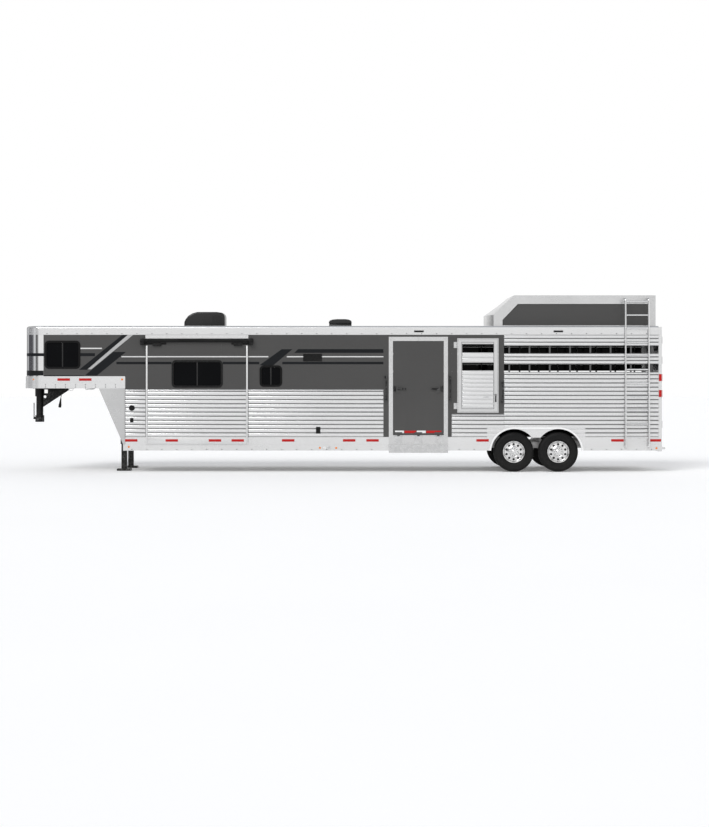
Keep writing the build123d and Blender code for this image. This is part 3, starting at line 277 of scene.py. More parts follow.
def finishPiece(piece, body, material, replaced=()):
    piece.data.materials.clear()
    piece.data.materials.append(material)
    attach(piece, body)
    if replaced:
        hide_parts(*replaced)
    return piece


# Surface effects
def newGroup(name, inputs, outputs):
    group = bpy.data.node_groups.new(name, "ShaderNodeTree")
    for label, kind, value in inputs:
        socket = group.interface.new_socket(name=label, in_out="INPUT", socket_type=kind)
        socket.default_value = value
    for label, kind in outputs:
        group.interface.new_socket(name=label, in_out="OUTPUT", socket_type=kind)
    return group, group.nodes.new("NodeGroupInput"), group.nodes.new("NodeGroupOutput")


def addNoise(tree, place, scale, detail, stretch=(1, 1, 1), turn=(0, 0, 0)):
    mapping = tree.nodes.new("ShaderNodeMapping")
    mapping.inputs["Scale"].default_value = stretch
    mapping.inputs["Rotation"].default_value = turn
    noise = tree.nodes.new("ShaderNodeTexNoise")
    noise.inputs["Detail"].default_value = detail
    if isinstance(scale, float):
        noise.inputs["Scale"].default_value = scale
    else:
        tree.links.new(scale, noise.inputs["Scale"])
    tree.links.new(place, mapping.inputs["Vector"])
    tree.links.new(mapping.outputs["Vector"], noise.inputs["Vector"])
    return noise.outputs["Fac"]


def addMath(tree, kind, first, second, clamp=False):
    step = tree.nodes.new("ShaderNodeMath")
    step.operation = kind
    step.use_clamp = clamp
    for value, socket in ((first, step.inputs[0]), (second, step.inputs[1])):
        if isinstance(value, (int, float)):
            socket.default_value = value
        else:
            tree.links.new(value, socket)
    return step.outputs[0]


def addMix(tree, factor, first, second):
    step = tree.nodes.new("ShaderNodeMix")
    step.data_type = "RGBA"
    for value, label in ((factor, "Factor"), (first, "A"), (second, "B")):
        tree.links.new(value, step.inputs[label])
    return step.outputs["Result"]


def addRange(tree, value, low, high, toLow=0.0, toHigh=1.0):
    step = tree.nodes.new("ShaderNodeMapRange")
    for label, number in (("From Min", low), ("From Max", high), ("To Min", toLow), ("To Max", toHigh)):
        if isinstance(number, (int, float)):
            step.inputs[label].default_value = number
        else:
            tree.links.new(number, step.inputs[label])
    tree.links.new(value, step.inputs["Value"])
    return step.outputs["Result"]


colourKind, numberKind = "NodeSocketColor", "NodeSocketFloat"

# Cloudy tone and fine drawn grain of sheet, casting or moulding
sheetGrain, sheetIn, sheetOut = newGroup(
    "sheetGrain",
    [("Colour", colourKind, (0.8, 0.8, 0.8, 1)), ("Shade", colourKind, (0.6, 0.6, 0.6, 1)),
     ("Grain Scale", numberKind, 14), ("Cloud Scale", numberKind, 1.6), ("Roughness", numberKind, 0.3),
     ("Spread", numberKind, 0.12)],
    [("Colour", colourKind), ("Roughness", numberKind), ("Height", numberKind)])
sheetPlace = sheetGrain.nodes.new("ShaderNodeTexCoord").outputs["Object"]
grainLines = addNoise(sheetGrain, sheetPlace, sheetIn.outputs["Grain Scale"], 3.0, (0.35, 3.0, 9.0))
cloudTone = addNoise(sheetGrain, sheetPlace, sheetIn.outputs["Cloud Scale"], 4.0)
fineSpeck = addNoise(sheetGrain, sheetPlace, 160.0, 2.0)
cloudWide = addRange(sheetGrain, cloudTone, 0.3, 0.7)
toneMix = addMath(sheetGrain, "ADD", addMath(sheetGrain, "MULTIPLY", cloudWide, 0.6),
                  addMath(sheetGrain, "MULTIPLY", grainLines, 0.4))
sheetGrain.links.new(addMix(sheetGrain, toneMix, sheetIn.outputs["Shade"], sheetIn.outputs["Colour"]),
                     sheetOut.inputs["Colour"])
roughSwing = addMath(sheetGrain, "MULTIPLY", addMath(sheetGrain, "SUBTRACT", toneMix, 0.5),
                     sheetIn.outputs["Spread"])
sheetGrain.links.new(addMath(sheetGrain, "SUBTRACT", sheetIn.outputs["Roughness"], roughSwing, True),
                     sheetOut.inputs["Roughness"])
sheetGrain.links.new(addMath(sheetGrain, "ADD", addMath(sheetGrain, "MULTIPLY", grainLines, 0.7),
                             addMath(sheetGrain, "MULTIPLY", fineSpeck, 0.3)), sheetOut.inputs["Height"])

# Road film that thickens towards the ground, with runs down the wall
roadFilm, filmIn, filmOut = newGroup(
    "roadFilm",
    [("Colour", colourKind, (0.8, 0.8, 0.8, 1)), ("Film", colourKind, (0.42, 0.39, 0.35, 1)),
     ("Roughness", numberKind, 0.3), ("Amount", numberKind, 0.3), ("Top", numberKind, 1.3)],
    [("Colour", colourKind), ("Roughness", numberKind)])
filmPlace = roadFilm.nodes.new("ShaderNodeTexCoord").outputs["Object"]
filmSplit = roadFilm.nodes.new("ShaderNodeSeparateXYZ")
roadFilm.links.new(filmPlace, filmSplit.inputs[0])
filmDepth = addRange(roadFilm, filmSplit.outputs["Z"], filmIn.outputs["Top"], 0.2)
filmRuns = addNoise(roadFilm, filmPlace, 5.0, 5.0, (2.2, 2.2, 0.35))
filmMask = addMath(roadFilm, "MULTIPLY", addMath(roadFilm, "MULTIPLY", filmDepth, filmRuns),
                   filmIn.outputs["Amount"], True)
roadFilm.links.new(addMix(roadFilm, filmMask, filmIn.outputs["Colour"], filmIn.outputs["Film"]),
                   filmOut.inputs["Colour"])
roadFilm.links.new(addMath(roadFilm, "ADD", filmIn.outputs["Roughness"],
                           addMath(roadFilm, "MULTIPLY", filmMask, 0.4), True), filmOut.inputs["Roughness"])

# Rubbed edges, found from how sharply the surface turns
edgeWear, wearIn, wearOut = newGroup(
    "edgeWear",
    [("Colour", colourKind, (0.02, 0.02, 0.02, 1)), ("Worn", colourKind, (0.25, 0.25, 0.25, 1)),
     ("Amount", numberKind, 0.5)],
    [("Colour", colourKind)])
wearPlace = edgeWear.nodes.new("ShaderNodeTexCoord").outputs["Object"]
wearEdge = addRange(edgeWear, edgeWear.nodes.new("ShaderNodeNewGeometry").outputs["Pointiness"], 0.52, 0.62)
wearBreak = addRange(edgeWear, addNoise(edgeWear, wearPlace, 30.0, 4.0), 0.45, 0.65)
wearMask = addMath(edgeWear, "MULTIPLY", addMath(edgeWear, "MULTIPLY", wearEdge, wearBreak),
                   wearIn.outputs["Amount"], True)
edgeWear.links.new(addMix(edgeWear, wearMask, wearIn.outputs["Colour"], wearIn.outputs["Worn"]),
                   wearOut.inputs["Colour"])


def placeGroup(tree, group, values):
    node = tree.nodes.new("ShaderNodeGroup")
    node.node_tree = group
    for label, value in values.items():
        if isinstance(value, (int, float, tuple)):
            node.inputs[label].default_value = value
        else:
            tree.links.new(value, node.inputs[label])
    return node.outputs


def grey(value):
    return (value, value, value, 1)


def makeFinish(name, colour, shade, rough, metal, spread=0.12, grain=14.0, cloud=1.6, bump=0.06,
               film=0.0, filmTop=1.3, worn=None, coat=0.0, specular=0.5):
    material = bpy.data.materials.new(name)
    material.use_nodes = True
    tree = material.node_tree
    shader = tree.nodes["Principled BSDF"]
    shader.inputs["Metallic"].default_value = metal
    shader.inputs["Coat Weight"].default_value = coat
    shader.inputs["Coat Roughness"].default_value = 0.08
    shader.inputs["Specular IOR Level"].default_value = specular
    sheet = placeGroup(tree, sheetGrain, {"Colour": colour, "Shade": shade, "Grain Scale": grain,
                                          "Cloud Scale": cloud, "Roughness": rough, "Spread": spread})
    tone, roughness = sheet["Colour"], sheet["Roughness"]
    if worn:
        tone = placeGroup(tree, edgeWear, {"Colour": tone, "Worn": worn, "Amount": 0.7})["Colour"]
    if film:
        road = placeGroup(tree, roadFilm, {"Colour": tone, "Roughness": roughness, "Amount": film,
                                           "Top": filmTop})
        tone, roughness = road["Colour"], road["Roughness"]
    bumpNode = tree.nodes.new("ShaderNodeBump")
    bumpNode.inputs["Strength"].default_value = bump
    bumpNode.inputs["Distance"].default_value = 0.004
    tree.links.new(sheet["Height"], bumpNode.inputs["Height"])
    tree.links.new(tone, shader.inputs["Base Color"])
    tree.links.new(roughness, shader.inputs["Roughness"])
    tree.links.new(bumpNode.outputs["Normal"], shader.inputs["Normal"])
    return material


ribAlloy = makeFinish("ribAlloy", grey(0.75), grey(0.67), 0.25, 0.85, spread=0.06, cloud=0.7, film=0.12,
                      filmTop=1.0, bump=0.02)
railAlloy = makeFinish("railAlloy", grey(0.74), grey(0.65), 0.24, 0.80, cloud=0.6, film=0.15, filmTop=1.0,
                       bump=0.025)
noseAlloy = makeFinish("noseAlloy", grey(0.86), grey(0.76), 0.06, 1.0, spread=0.05, bump=0.012)
millAlloy = makeFinish("millAlloy", grey(0.55), grey(0.42), 0.42, 0.85, film=0.5, filmTop=1.0, bump=0.1)
plateAlloy = makeFinish("plateAlloy", grey(0.58), grey(0.48), 0.28, 0.9, cloud=2.4, bump=0.04)
frameAlloy = makeFinish("frameAlloy", grey(0.66), grey(0.56), 0.24, 0.85, film=0.15, filmTop=1.0, bump=0.05)
tubeAlloy = makeFinish("tubeAlloy", grey(0.80), grey(0.66), 0.22, 0.95, grain=30.0, bump=0.05)
# Dark alloy as painted shade: in the plank gaps, on the stock planks behind the laid ones and round the escape
# door's infill; its film is road dirt
grooveShadeAlloy = makeFinish("grooveShadeAlloy", grey(0.20), grey(0.14), 0.5, 0.4, film=0.2, filmTop=1.1, bump=0.1)
# Inside posts and bulkheads: dark alloy as painted shade inside the body; its film is road dirt
insideShadeAlloy = makeFinish("insideShadeAlloy", grey(0.10), grey(0.06), 0.6, 0.2, film=0.3, filmTop=1.4, bump=0.1)
wheelAlloy = makeFinish("wheelAlloy", grey(0.86), grey(0.66), 0.12, 1.0, grain=60.0, cloud=9.0, film=0.2,
                        filmTop=0.8, bump=0.05)
greyPaint = makeFinish("greyPaint", (0.057, 0.056, 0.055, 1), (0.048, 0.047, 0.046, 1), 0.34, 0.0, cloud=0.5,
                       grain=3.0, bump=0.006, film=0.04, filmTop=1.6, coat=0.12, specular=0.3)
stripeBlack = makeFinish("stripeBlack", (0.009, 0.010, 0.012, 1), (0.007, 0.008, 0.009, 1), 0.34, 0.0,
                         bump=0.006, specular=0.12)
stripeWhite = makeFinish("stripeWhite", grey(0.66), grey(0.56), 0.34, 0.0, bump=0.01)
stripeSilver = makeFinish("stripeSilver", grey(0.46), grey(0.34), 0.34, 0.3, grain=40.0, bump=0.02)
whiteTrim = makeFinish("whiteTrim", grey(0.84), grey(0.76), 0.34, 0.0, bump=0.03, film=0.25, filmTop=0.9)
blackSteel = makeFinish("blackSteel", grey(0.008), grey(0.004), 0.40, 0.0, cloud=6.0, bump=0.10,
                        worn=grey(0.12), film=0.02, filmTop=1.4, specular=0.2)
wellBlack = makeFinish("wellBlack", grey(0.004), grey(0.002), 0.7, 0.0, cloud=6.0, bump=0.10, specular=0.08)
zincSteel = makeFinish("zincSteel", grey(0.66), grey(0.50), 0.28, 1.0, grain=40.0, cloud=12.0, bump=0.08)
rivetSteel = makeFinish("rivetSteel", grey(0.10), grey(0.06), 0.35, 0.8, grain=60.0, cloud=20.0, bump=0.05)
blackPlastic = makeFinish("blackPlastic", grey(0.009), grey(0.005), 0.42, 0.0, grain=60.0, cloud=4.0,
                          bump=0.10, worn=grey(0.02), specular=0.15)
frameBlack = makeFinish("frameBlack", grey(0.006), grey(0.004), 0.30, 0.0, grain=30.0, bump=0.02,
                        specular=0.12)
barBlack = makeFinish("barBlack", grey(0.016), grey(0.010), 0.35, 0.0, grain=30.0, bump=0.02, specular=0.3)
shellPlastic = makeFinish("shellPlastic", grey(0.007), grey(0.004), 0.26, 0.0, grain=60.0, cloud=3.0,
                          bump=0.02, specular=0.45)
glassDark = makeFinish("glassDark", (0.003, 0.0035, 0.004, 1), (0.002, 0.002, 0.0025, 1), 0.04, 0.0,
                       spread=0.04, cloud=2.5, bump=0.003, specular=0.05)
tyreRubber = makeFinish("tyreRubber", grey(0.006), grey(0.004), 0.60, 0.0, grain=50.0, cloud=7.0, bump=0.15,
                        film=0.012, filmTop=0.8, specular=0.18)
softRubber = makeFinish("softRubber", grey(0.010), grey(0.006), 0.60, 0.0, grain=120.0, cloud=20.0, bump=0.15,
                        specular=0.25)
redLens = makeFinish("redLens", (0.48, 0.004, 0.003, 1), (0.36, 0.003, 0.002, 1), 0.26, 0.0, grain=140.0,
                     cloud=40.0, bump=0.2, specular=0.3)
amberLens = makeFinish("amberLens", (0.85, 0.26, 0.03, 1), (0.70, 0.18, 0.02, 1), 0.24, 0.0, grain=140.0,
                       cloud=40.0, bump=0.2, coat=0.2)
whiteLens = makeFinish("whiteLens", grey(0.80), grey(0.68), 0.26, 0.0, grain=140.0, cloud=40.0, bump=0.2,
                       coat=0.2)
floorPaint = makeFinish("floorPaint", grey(0.95), grey(0.93), 0.8, 0.0, grain=3.0, cloud=0.3, bump=0.005,
                        specular=0.1)
floorShader = floorPaint.node_tree.nodes["Principled BSDF"]
floorShader.inputs["Emission Color"].default_value = grey(1.0)
floorShader.inputs["Emission Strength"].default_value = 0.13
floor.data.materials.append(floorPaint)


def makeCanvas():
    # Woven vinyl: two crossed wave patterns for the weave, over the cloudy tone.
    material = bpy.data.materials.new("blackCanvas")
    material.use_nodes = True
    tree = material.node_tree
    shader = tree.nodes["Principled BSDF"]
    shader.inputs["Specular IOR Level"].default_value = 0.15
    sheet = placeGroup(tree, sheetGrain, {"Colour": grey(0.010), "Shade": grey(0.005), "Grain Scale": 40.0,
                                          "Cloud Scale": 5.0, "Roughness": 0.62, "Spread": 0.2})
    place = tree.nodes.new("ShaderNodeTexCoord").outputs["Object"]
    threads = []
    for direction in ("X", "Z"):
        wave = tree.nodes.new("ShaderNodeTexWave")
        wave.bands_direction = direction
        wave.inputs["Scale"].default_value = 160
        tree.links.new(place, wave.inputs["Vector"])
        threads.append(wave.outputs["Fac"])
    bumpNode = tree.nodes.new("ShaderNodeBump")
    bumpNode.inputs["Strength"].default_value = 0.35
    bumpNode.inputs["Distance"].default_value = 0.002
    tree.links.new(addMath(tree, "MULTIPLY", *threads), bumpNode.inputs["Height"])
    tree.links.new(sheet["Colour"], shader.inputs["Base Color"])
    tree.links.new(sheet["Roughness"], shader.inputs["Roughness"])
    tree.links.new(bumpNode.outputs["Normal"], shader.inputs["Normal"])
    return material


blackCanvas = makeCanvas()
print("materials are made")

# Finishes of the carried parts
nodeFinish = {
    # bulkheads and body_ribs take the dark inside alloy, painted shade on the posts and walls seen through the
    # stock slots
    "chassis_frame": millAlloy, "decks": millAlloy, "lower_rails": railAlloy, "bulkheads": insideShadeAlloy,
    "lower_skins": plateAlloy, "grey_skins": greyPaint, "nose_shell": noseAlloy, "body_ribs": insideShadeAlloy,
    # the stock planks lie behind the laid planks; their dark groove alloy is painted shade in the gaps
    "stock_planks": grooveShadeAlloy, "roof_rails": railAlloy, "roof_skin": millAlloy, "rear_frame": railAlloy,
    "fender_skirts": railAlloy, "fender_trims": whiteTrim, "running_gear": wellBlack,
    "window_frames": frameBlack, "window_panes": glassDark, "nose_sash": glassDark, "small_sash": glassDark,
    "slide_box": millAlloy, "slide_face": greyPaint, "slide_fittings": blackPlastic, "slide_pane": glassDark,
    "slide_sash": glassDark, "topper_roll": blackCanvas, "opening_frames": frameAlloy,
    "ramp_panel": greyPaint, "ramp_latch_front": blackSteel, "ramp_latch_rear": blackSteel,
    "escape_door": frameAlloy, "escape_paddle": blackSteel, "entry_door": greyPaint,
    "rear_door_left": frameAlloy, "rear_door_right": frameAlloy, "rear_latch": zincSteel,
    "wall_fittings": zincSteel, "lamps": redLens, "grab_handles": blackSteel, "pod_frame": frameAlloy,
    "pod_panels": greyPaint, "pod_hatch": greyPaint, "ladder_rails": tubeAlloy, "ladder_rungs": tubeAlloy,
    "roof_units": blackPlastic, "vent_lid": blackPlastic, "gooseneck_steel": blackSteel,
    "coupler_head": blackSteel, "coupler_latch": blackSteel, "jack_leg_left": blackSteel,
    "jack_leg_right": blackSteel, "plug_cable": softRubber, "trailer_plug": blackPlastic,
}
for nodeName, piece in nodes.items():
    finishMaterial = nodeFinish.get(nodeName)
    if finishMaterial is None:
        finishMaterial = tyreRubber if nodeName.startswith("tyre") else wheelAlloy
    for socket in piece.material_slots:
        socket.material = finishMaterial
print("carried parts have their finishes")

# Ribbed planks
plankLook = {"pitch": 0.0832, "bandPitch": 0.074, "doorPitch": 0.083, "gap": 0.021, "proud": 0.0072,
             "shoulder": 0.020, "crown": 0.0046, "edge": 0.0050, "shortest": 0.02}


def plankCourse(x0, x1, low, high, face, side, count, pitch):
    # One plank with a crowned middle, repeated upwards.
    half = plankLook["gap"] / 2
    plank = addBlock("plank", (x0, face - side * 0.0004, low + half),
                     (x1, face + side * plankLook["proud"], high - half))
    pickFaces(plank, lambda f: f.normal.y * side > 0.9)
    bpy.ops.mesh.inset(thickness=min(plankLook["shoulder"], (high - low) / 5))
    bpy.ops.transform.translate(value=(0, side * plankLook["crown"], 0))
    leaveEdit()
    soften(plank, plankLook["edge"], 2, 12)
    return repeatPiece(plank, count, (0, 0, pitch))


def plankPanel(x0, x1, low, high, face, side, pitch=None):
    # Planks on the common grid that starts at the floor, cut short where a panel begins or ends between
    # courses. A panel with its own pitch is divided evenly instead.
    courses = []
    if pitch:
        count = max(1, round((high - low) / pitch))
        step = (high - low) / count
        return [plankCourse(x0, x1, low, low + step, face, side, count, step)]
    pitch = plankLook["pitch"]
    first = math.ceil((low - trailer["floorTop"]) / pitch - 0.001)
    last = math.floor((high - trailer["floorTop"]) / pitch + 0.001)
    startZ = trailer["floorTop"] + first * pitch
    endZ = trailer["floorTop"] + last * pitch
    if startZ - low > plankLook["shortest"]:
        courses.append(plankCourse(x0, x1, low, startZ, face, side, 1, pitch))
    courses.append(plankCourse(x0, x1, startZ, startZ + pitch, face, side, last - first, pitch))
    if high - endZ > plankLook["shortest"]:
        courses.append(plankCourse(x0, x1, endZ, high, face, side, 1, pitch))
    return courses


sideY, floorTop, skinJoint = trailer["sideY"], trailer["floorTop"], trailer["skinJoint"]
stockBands = ((2.160, 2.376), (2.524, 2.746))
leftPanels, rightPanels = [], []
for x0, x1, low, high in ((-4.383, -3.970, floorTop, skinJoint), (-1.926, 0.783, floorTop, skinJoint)):
    leftPanels += plankPanel(x0, x1, low, high, -sideY, -1)
for low, high in stockBands:
    leftPanels += plankPanel(3.199, trailer["wallRear"], low, high, -sideY, -1, plankLook["bandPitch"])
for x0, x1, low, high in ((-4.383, -1.516, floorTop, skinJoint), (-0.774, 0.783, floorTop, skinJoint)):
    rightPanels += plankPanel(x0, x1, low, high, sideY, 1)
for low, high in stockBands:
    rightPanels += plankPanel(0.787, trailer["wallRear"], low, high, sideY, 1, plankLook["bandPitch"])
finishPiece(joinAll("bodyPlanksLeft", leftPanels), "trailer_body", ribAlloy)
finishPiece(joinAll("bodyPlanksRight", rightPanels), "trailer_body", ribAlloy)
slideStart, slideEnd = slide["front"] + 0.026, slide["rear"] - 0.026
slidePlanks = plankPanel(slideStart, slideEnd, floorTop, skinJoint, -slide["face"], -1)
finishPiece(joinAll("slidePlanks", slidePlanks), "slide_room", ribAlloy)
doorPlanks = []
for low, high in ((1.286, 2.028), (2.192, 2.388)):
    doorPlanks += plankPanel(2.361, 2.989, low, high, -sideY + 0.006, -1, plankLook["doorPitch"])
finishPiece(joinAll("escapeDoorPlanks", doorPlanks), "escape_door", ribAlloy)
# Grooves behind the planks: a thin dark sheet over the plate, painted shade so the gaps read as shadow lines
groove = {"thickness": 0.0008, "bevel": 0.0003}
grooveShadeSheets = []
for x0, x1, low, high, side in (
        (-4.383, -3.970, floorTop, skinJoint, -1), (-1.926, 0.783, floorTop, skinJoint, -1),
        (2.151, 2.858, floorTop, 1.158, -1), (2.862, 3.196, 0.902, 1.158, -1),
        (-4.383, -1.516, floorTop, skinJoint, 1), (-0.774, 0.783, floorTop, skinJoint, 1)):
    sheet = addBlock("grooveShadeSheet", (x0, side * sideY, low), (x1, side * (sideY + groove["thickness"]), high))
    grooveShadeSheets.append(soften(sheet, groove["bevel"], 1))
finishPiece(joinAll("grooveShadeSheets", grooveShadeSheets), "trailer_body", grooveShadeAlloy)
# The same painted shade sheet behind the slide-out room's planks
slideShadeSheet = soften(addBlock("slideShadeSheets", (slideStart, -slide["face"], floorTop),
                              (slideEnd, -slide["face"] - groove["thickness"], skinJoint)), groove["bevel"], 1)
finishPiece(slideShadeSheet, "slide_room", grooveShadeAlloy)
print("planks are laid")

# Painted stripes
stripe = {"thickness": 0.0011, "bevel": 0.0004}


def addStripe(name, body, face, corners, material):
    piece = outline(name, corners, face - stripe["thickness"], stripe["thickness"] + 0.0002)
    return finishPiece(soften(piece, stripe["bevel"], 1), body, material)


def bar(x0, x1, z0, z1):
    return [(x0, z0), (x1, z0), (x1, z1), (x0, z1)]


wallFace = -sideY - 0.0001
slideFace = -slide["face"] - 0.0001
noseSlants = (
    ([(-5.307, 2.046), (-5.145, 2.046), (-4.343, 2.743), (-4.443, 2.743)], stripeBlack),
    ([(-5.147, 2.056), (-5.062, 2.056), (-4.227, 2.743), (-4.331, 2.743)], stripeSilver),
    ([(-5.193, 1.930), (-4.949, 1.930), (-4.371, 2.402), (-4.627, 2.402)], stripeBlack))
for number, (corners, material) in enumerate((
        (bar(-5.281, -4.850, 2.462, 2.486), stripeWhite),
        (bar(-5.281, -4.990, 2.318, 2.378), stripeBlack),
        *noseSlants,
        (bar(-6.018, -5.215, 1.919, 1.936), stripeBlack),
        (bar(-4.460, -3.970, 2.296, 2.318), stripeWhite),
        (bar(-4.560, -3.970, 2.156, 2.204), stripeBlack),
        (bar(-1.926, -1.520, 2.296, 2.318), stripeWhite),
        (bar(-1.150, 0.783, 2.296, 2.318), stripeWhite),
        (bar(-1.926, -1.700, 2.156, 2.204), stripeBlack),
        (bar(-1.240, 0.783, 2.156, 2.204), stripeBlack),
        ([(-1.699, 2.135), (-1.421, 2.135), (-1.039, 2.456), (-1.253, 2.456)], stripeBlack),
        ([(-1.000, 2.384), (0.783, 2.384), (0.783, 2.458), (-0.925, 2.458)], stripeBlack))):
    addStripe(f"wallStripe{number}", "trailer_body", wallFace, corners, material)
for number, (corners, material) in enumerate((
        (bar(slideStart, slideEnd, 2.296, 2.318), stripeWhite),
        (bar(slideStart, -3.455, 2.156, 2.204), stripeBlack),
        (bar(-2.427, slideEnd, 2.156, 2.204), stripeBlack))):
    addStripe(f"slideStripe{number}", "slide_room", slideFace, corners, material)


def noseBand(name, low, high, rear):
    # A band round both nose corners: a strip pushed out along the front, the bends and the sides.
    deselectAll()
    corner, pivotX, pivotY, bends = 0.3352 + 0.0010, -6.0700, 0.884, 16
    points = [(rear, -pivotY - corner)]
    for step in range(bends + 1):
        turn = math.radians(90 * step / bends)
        points.append((pivotX - corner * math.sin(turn), -pivotY - corner * math.cos(turn)))
    for step in range(bends + 1):
        turn = math.radians(90 - 90 * step / bends)
        points.append((pivotX - corner * math.sin(turn), pivotY + corner * math.cos(turn)))
    points.append((rear, pivotY + corner))
    bpy.ops.mesh.primitive_circle_add(vertices=len(points), radius=1, fill_type="NOTHING")
    piece = bpy.context.object
    for vertex, (x, y) in zip(piece.data.vertices, points):
        vertex.co = (x, y, low)
    bpy.ops.object.mode_set(mode="EDIT")
    bpy.ops.mesh.select_mode(type="EDGE")
    bpy.ops.mesh.select_all(action="DESELECT")
    bpy.ops.object.mode_set(mode="OBJECT")
    ends = {0, len(points) - 1}
    for edge in piece.data.edges:
        edge.select = set(edge.vertices) == ends
    bpy.ops.object.mode_set(mode="EDIT")
    bpy.ops.mesh.delete(type="EDGE_FACE")
    bpy.ops.mesh.select_all(action="SELECT")
    bpy.ops.mesh.extrude_region_move(TRANSFORM_OT_translate={"value": (0, 0, high - low)})
    bpy.ops.mesh.select_all(action="SELECT")
    bpy.ops.mesh.normals_make_consistent(inside=False)
    leaveEdit()
    wall = piece.modifiers.new("wall", "SOLIDIFY")
    wall.thickness = stripe["thickness"]
    wall.offset = 0
    useModifiers(piece)
    smooth(piece, 30)
    nameIt(piece, name)
    return finishPiece(piece, "trailer_body", stripeBlack)


noseBand("noseStripeUpper", 2.318, 2.378, -6.000)
noseBand("noseStripeLower", 1.930, 2.030, -6.021)
# The same scheme on the far side
for number, (corners, material) in enumerate((
        (bar(-6.018, -4.990, 2.318, 2.378), stripeBlack),
        (bar(-6.018, -4.850, 2.462, 2.486), stripeWhite),
        *noseSlants,
        (bar(-4.460, -1.530, 2.296, 2.318), stripeWhite),
        (bar(-4.560, -1.530, 2.156, 2.204), stripeBlack),
        (bar(-0.770, 0.782, 2.296, 2.318), stripeWhite),
        (bar(-0.770, 0.782, 2.156, 2.204), stripeBlack))):
    piece = outline(f"farStripe{number}", corners, sideY - 0.0002, stripe["thickness"] + 0.0003)
    finishPiece(soften(piece, stripe["bevel"], 1), "trailer_body", material)
print("stripes are painted")

# Reflectors and lamps
lampLook = {"length": 0.25, "low": 0.607, "high": 0.657, "proud": 0.008, "bevel": 0.003}


def lensBlock(name, low, high):
    return soften(addBlock(name, low, high), lampLook["bevel"], 2)


redLamps, amberLamps, whiteLamps, darkLamps = [], [], [], []
for side in (-1, 1):
    for x in (-4.389, -1.247, -0.027, 0.441, 2.643, 5.343, 6.090):
        redLamps.append(lensBlock("lens", (x, side * sideY, lampLook["low"]),
                                  (x + lampLook["length"], side * (sideY + lampLook["proud"]),
                                   lampLook["high"])))
    for x in (-5.741, -5.309):
        redLamps.append(lensBlock("lens", (x, side * (sideY - 0.003), 1.825),
                                  (x + lampLook["length"], side * (sideY + 0.005), 1.875)))
    for x, z, inward in ((-4.313, 0.504, 0), (-0.487, 0.482, 0), (-0.163, 0.482, 0), (6.249, 0.476, 0),
                         (-4.447, 1.852, 0.003)):
        amberLamps.append(addDome("lens", (x, side * (sideY - inward), z), 0.017, (0, side, 0), 0.010, 20, 8))
        amberLamps.append(addRing("lensRing", (x, side * (sideY - inward + 0.002), z), 0.0175, 0.0035, "Y",
                                  24, 6))
    out = Vector((-math.cos(math.radians(64)), side * math.sin(math.radians(64)), 0))
    spot = Vector((-6.0706, side * 0.859, 1.852)) + out * 0.3572
    amberLamps.append(addDome("lens", spot, 0.017, out, 0.012, 20, 8))
    for low in (1.50, 1.82):
        redLamps.append(lensBlock("lens", (6.297, side * sideY, low),
                                  (6.351, side * (sideY + 0.010), low + 0.14)))
        redLamps.append(lensBlock("lens", (6.3575, side * 1.139, low), (6.369, side * 1.209, low + 0.14)))
    for x in (1.400, 4.190):
        darkLamps.append(lensBlock("lens", (x, side * sideY, 2.796),
                                   (x + 0.19, side * (sideY + 0.012), 2.832)))
whiteLamps.append(lensBlock("lens", (-0.425, -sideY - 0.012, 0.468), (-0.365, -sideY, 0.496)))
whiteLamps.append(addDome("lens", (-5.190, -0.320, 1.674), 0.094, (0, 0, -1), 0.038, 32, 10))
whiteLamps.append(addRing("lensRing", (-5.190, -0.320, 1.670), 0.090, 0.0045, "Z", 40, 8))
redJoined = joinAll("redReflectors", redLamps)
finishPiece(smooth(redJoined), "trailer_body", redLens, ["lamps"])
finishPiece(smooth(joinAll("amberMarkers", amberLamps)), "trailer_body", amberLens)
finishPiece(smooth(joinAll("whiteLamps", whiteLamps)), "trailer_body", whiteLens)
finishPiece(smooth(joinAll("lampSlots", darkLamps)), "trailer_body", blackPlastic)
slideLamps = [lensBlock("lens", (slide["front"] + start, -slide["face"] - 0.006, lampLook["low"]),
                        (slide["front"] + start + lampLook["length"], -slide["face"], lampLook["high"]))
              for start in (0.384, 1.248, 1.704)]
finishPiece(joinAll("slideReflectors", slideLamps), "slide_room", redLens)
rampTape = {"front": 0.975, "face": 1.221, "thickness": 0.004, "low": 0.778, "high": 0.828}


def tapeBlocks(spans):
    start, face = rampTape["front"], -rampTape["face"]
    return [lensBlock("lens", (start + a, face - rampTape["thickness"], rampTape["low"]),
                      (start + b, face, rampTape["high"])) for a, b in spans]


rampRed = tapeBlocks(((0.228, 0.468), (0.664, 0.968)))
rampWhite = tapeBlocks(((0.042, 0.220), (0.476, 0.656)))
finishPiece(joinAll("rampReflectorsRed", rampRed), "ramp", redLens)
finishPiece(joinAll("rampReflectorsWhite", rampWhite), "ramp", whiteLens)
print("lamps are on")

# Silver sheet below the slide-out room's planks, its bright edge strips and the flap line under the header
slideEdge = {"bandLow": 0.559, "stripWidth": 0.034, "stripTop": 2.530, "stripProud": 0.007, "flapLow": 2.636}
band = soften(addBlock("slideBand", (slide["front"] + 0.025, -slide["face"] - 0.003, slideEdge["bandLow"]),
                       (slide["rear"] - 0.025, -slide["face"], floorTop)), 0.001, 2)
strips = [soften(addBlock("strip", (x, -slide["face"] - slideEdge["stripProud"], slideEdge["bandLow"] - 0.002),
                          (x + slideEdge["stripWidth"], -slide["face"], slideEdge["stripTop"])), 0.003, 2)
          for x in (slide["front"] - 0.009, slide["rear"] - 0.025)]
finishPiece(joinAll("slideSilver", [band] + strips), "slide_room", railAlloy)
flap = soften(addBlock("topperFlap", (slide["front"], -slide["face"] - 0.004, slideEdge["flapLow"]),
                       (slide["rear"], -slide["face"], slideEdge["flapLow"] + 0.020)), 0.002, 2)
rollCap = {"y": -1.2900, "z": 2.628, "radius": 0.046, "rim": 0.012, "boss": 0.004, "bevel": 0.005}
endCaps = [flap]
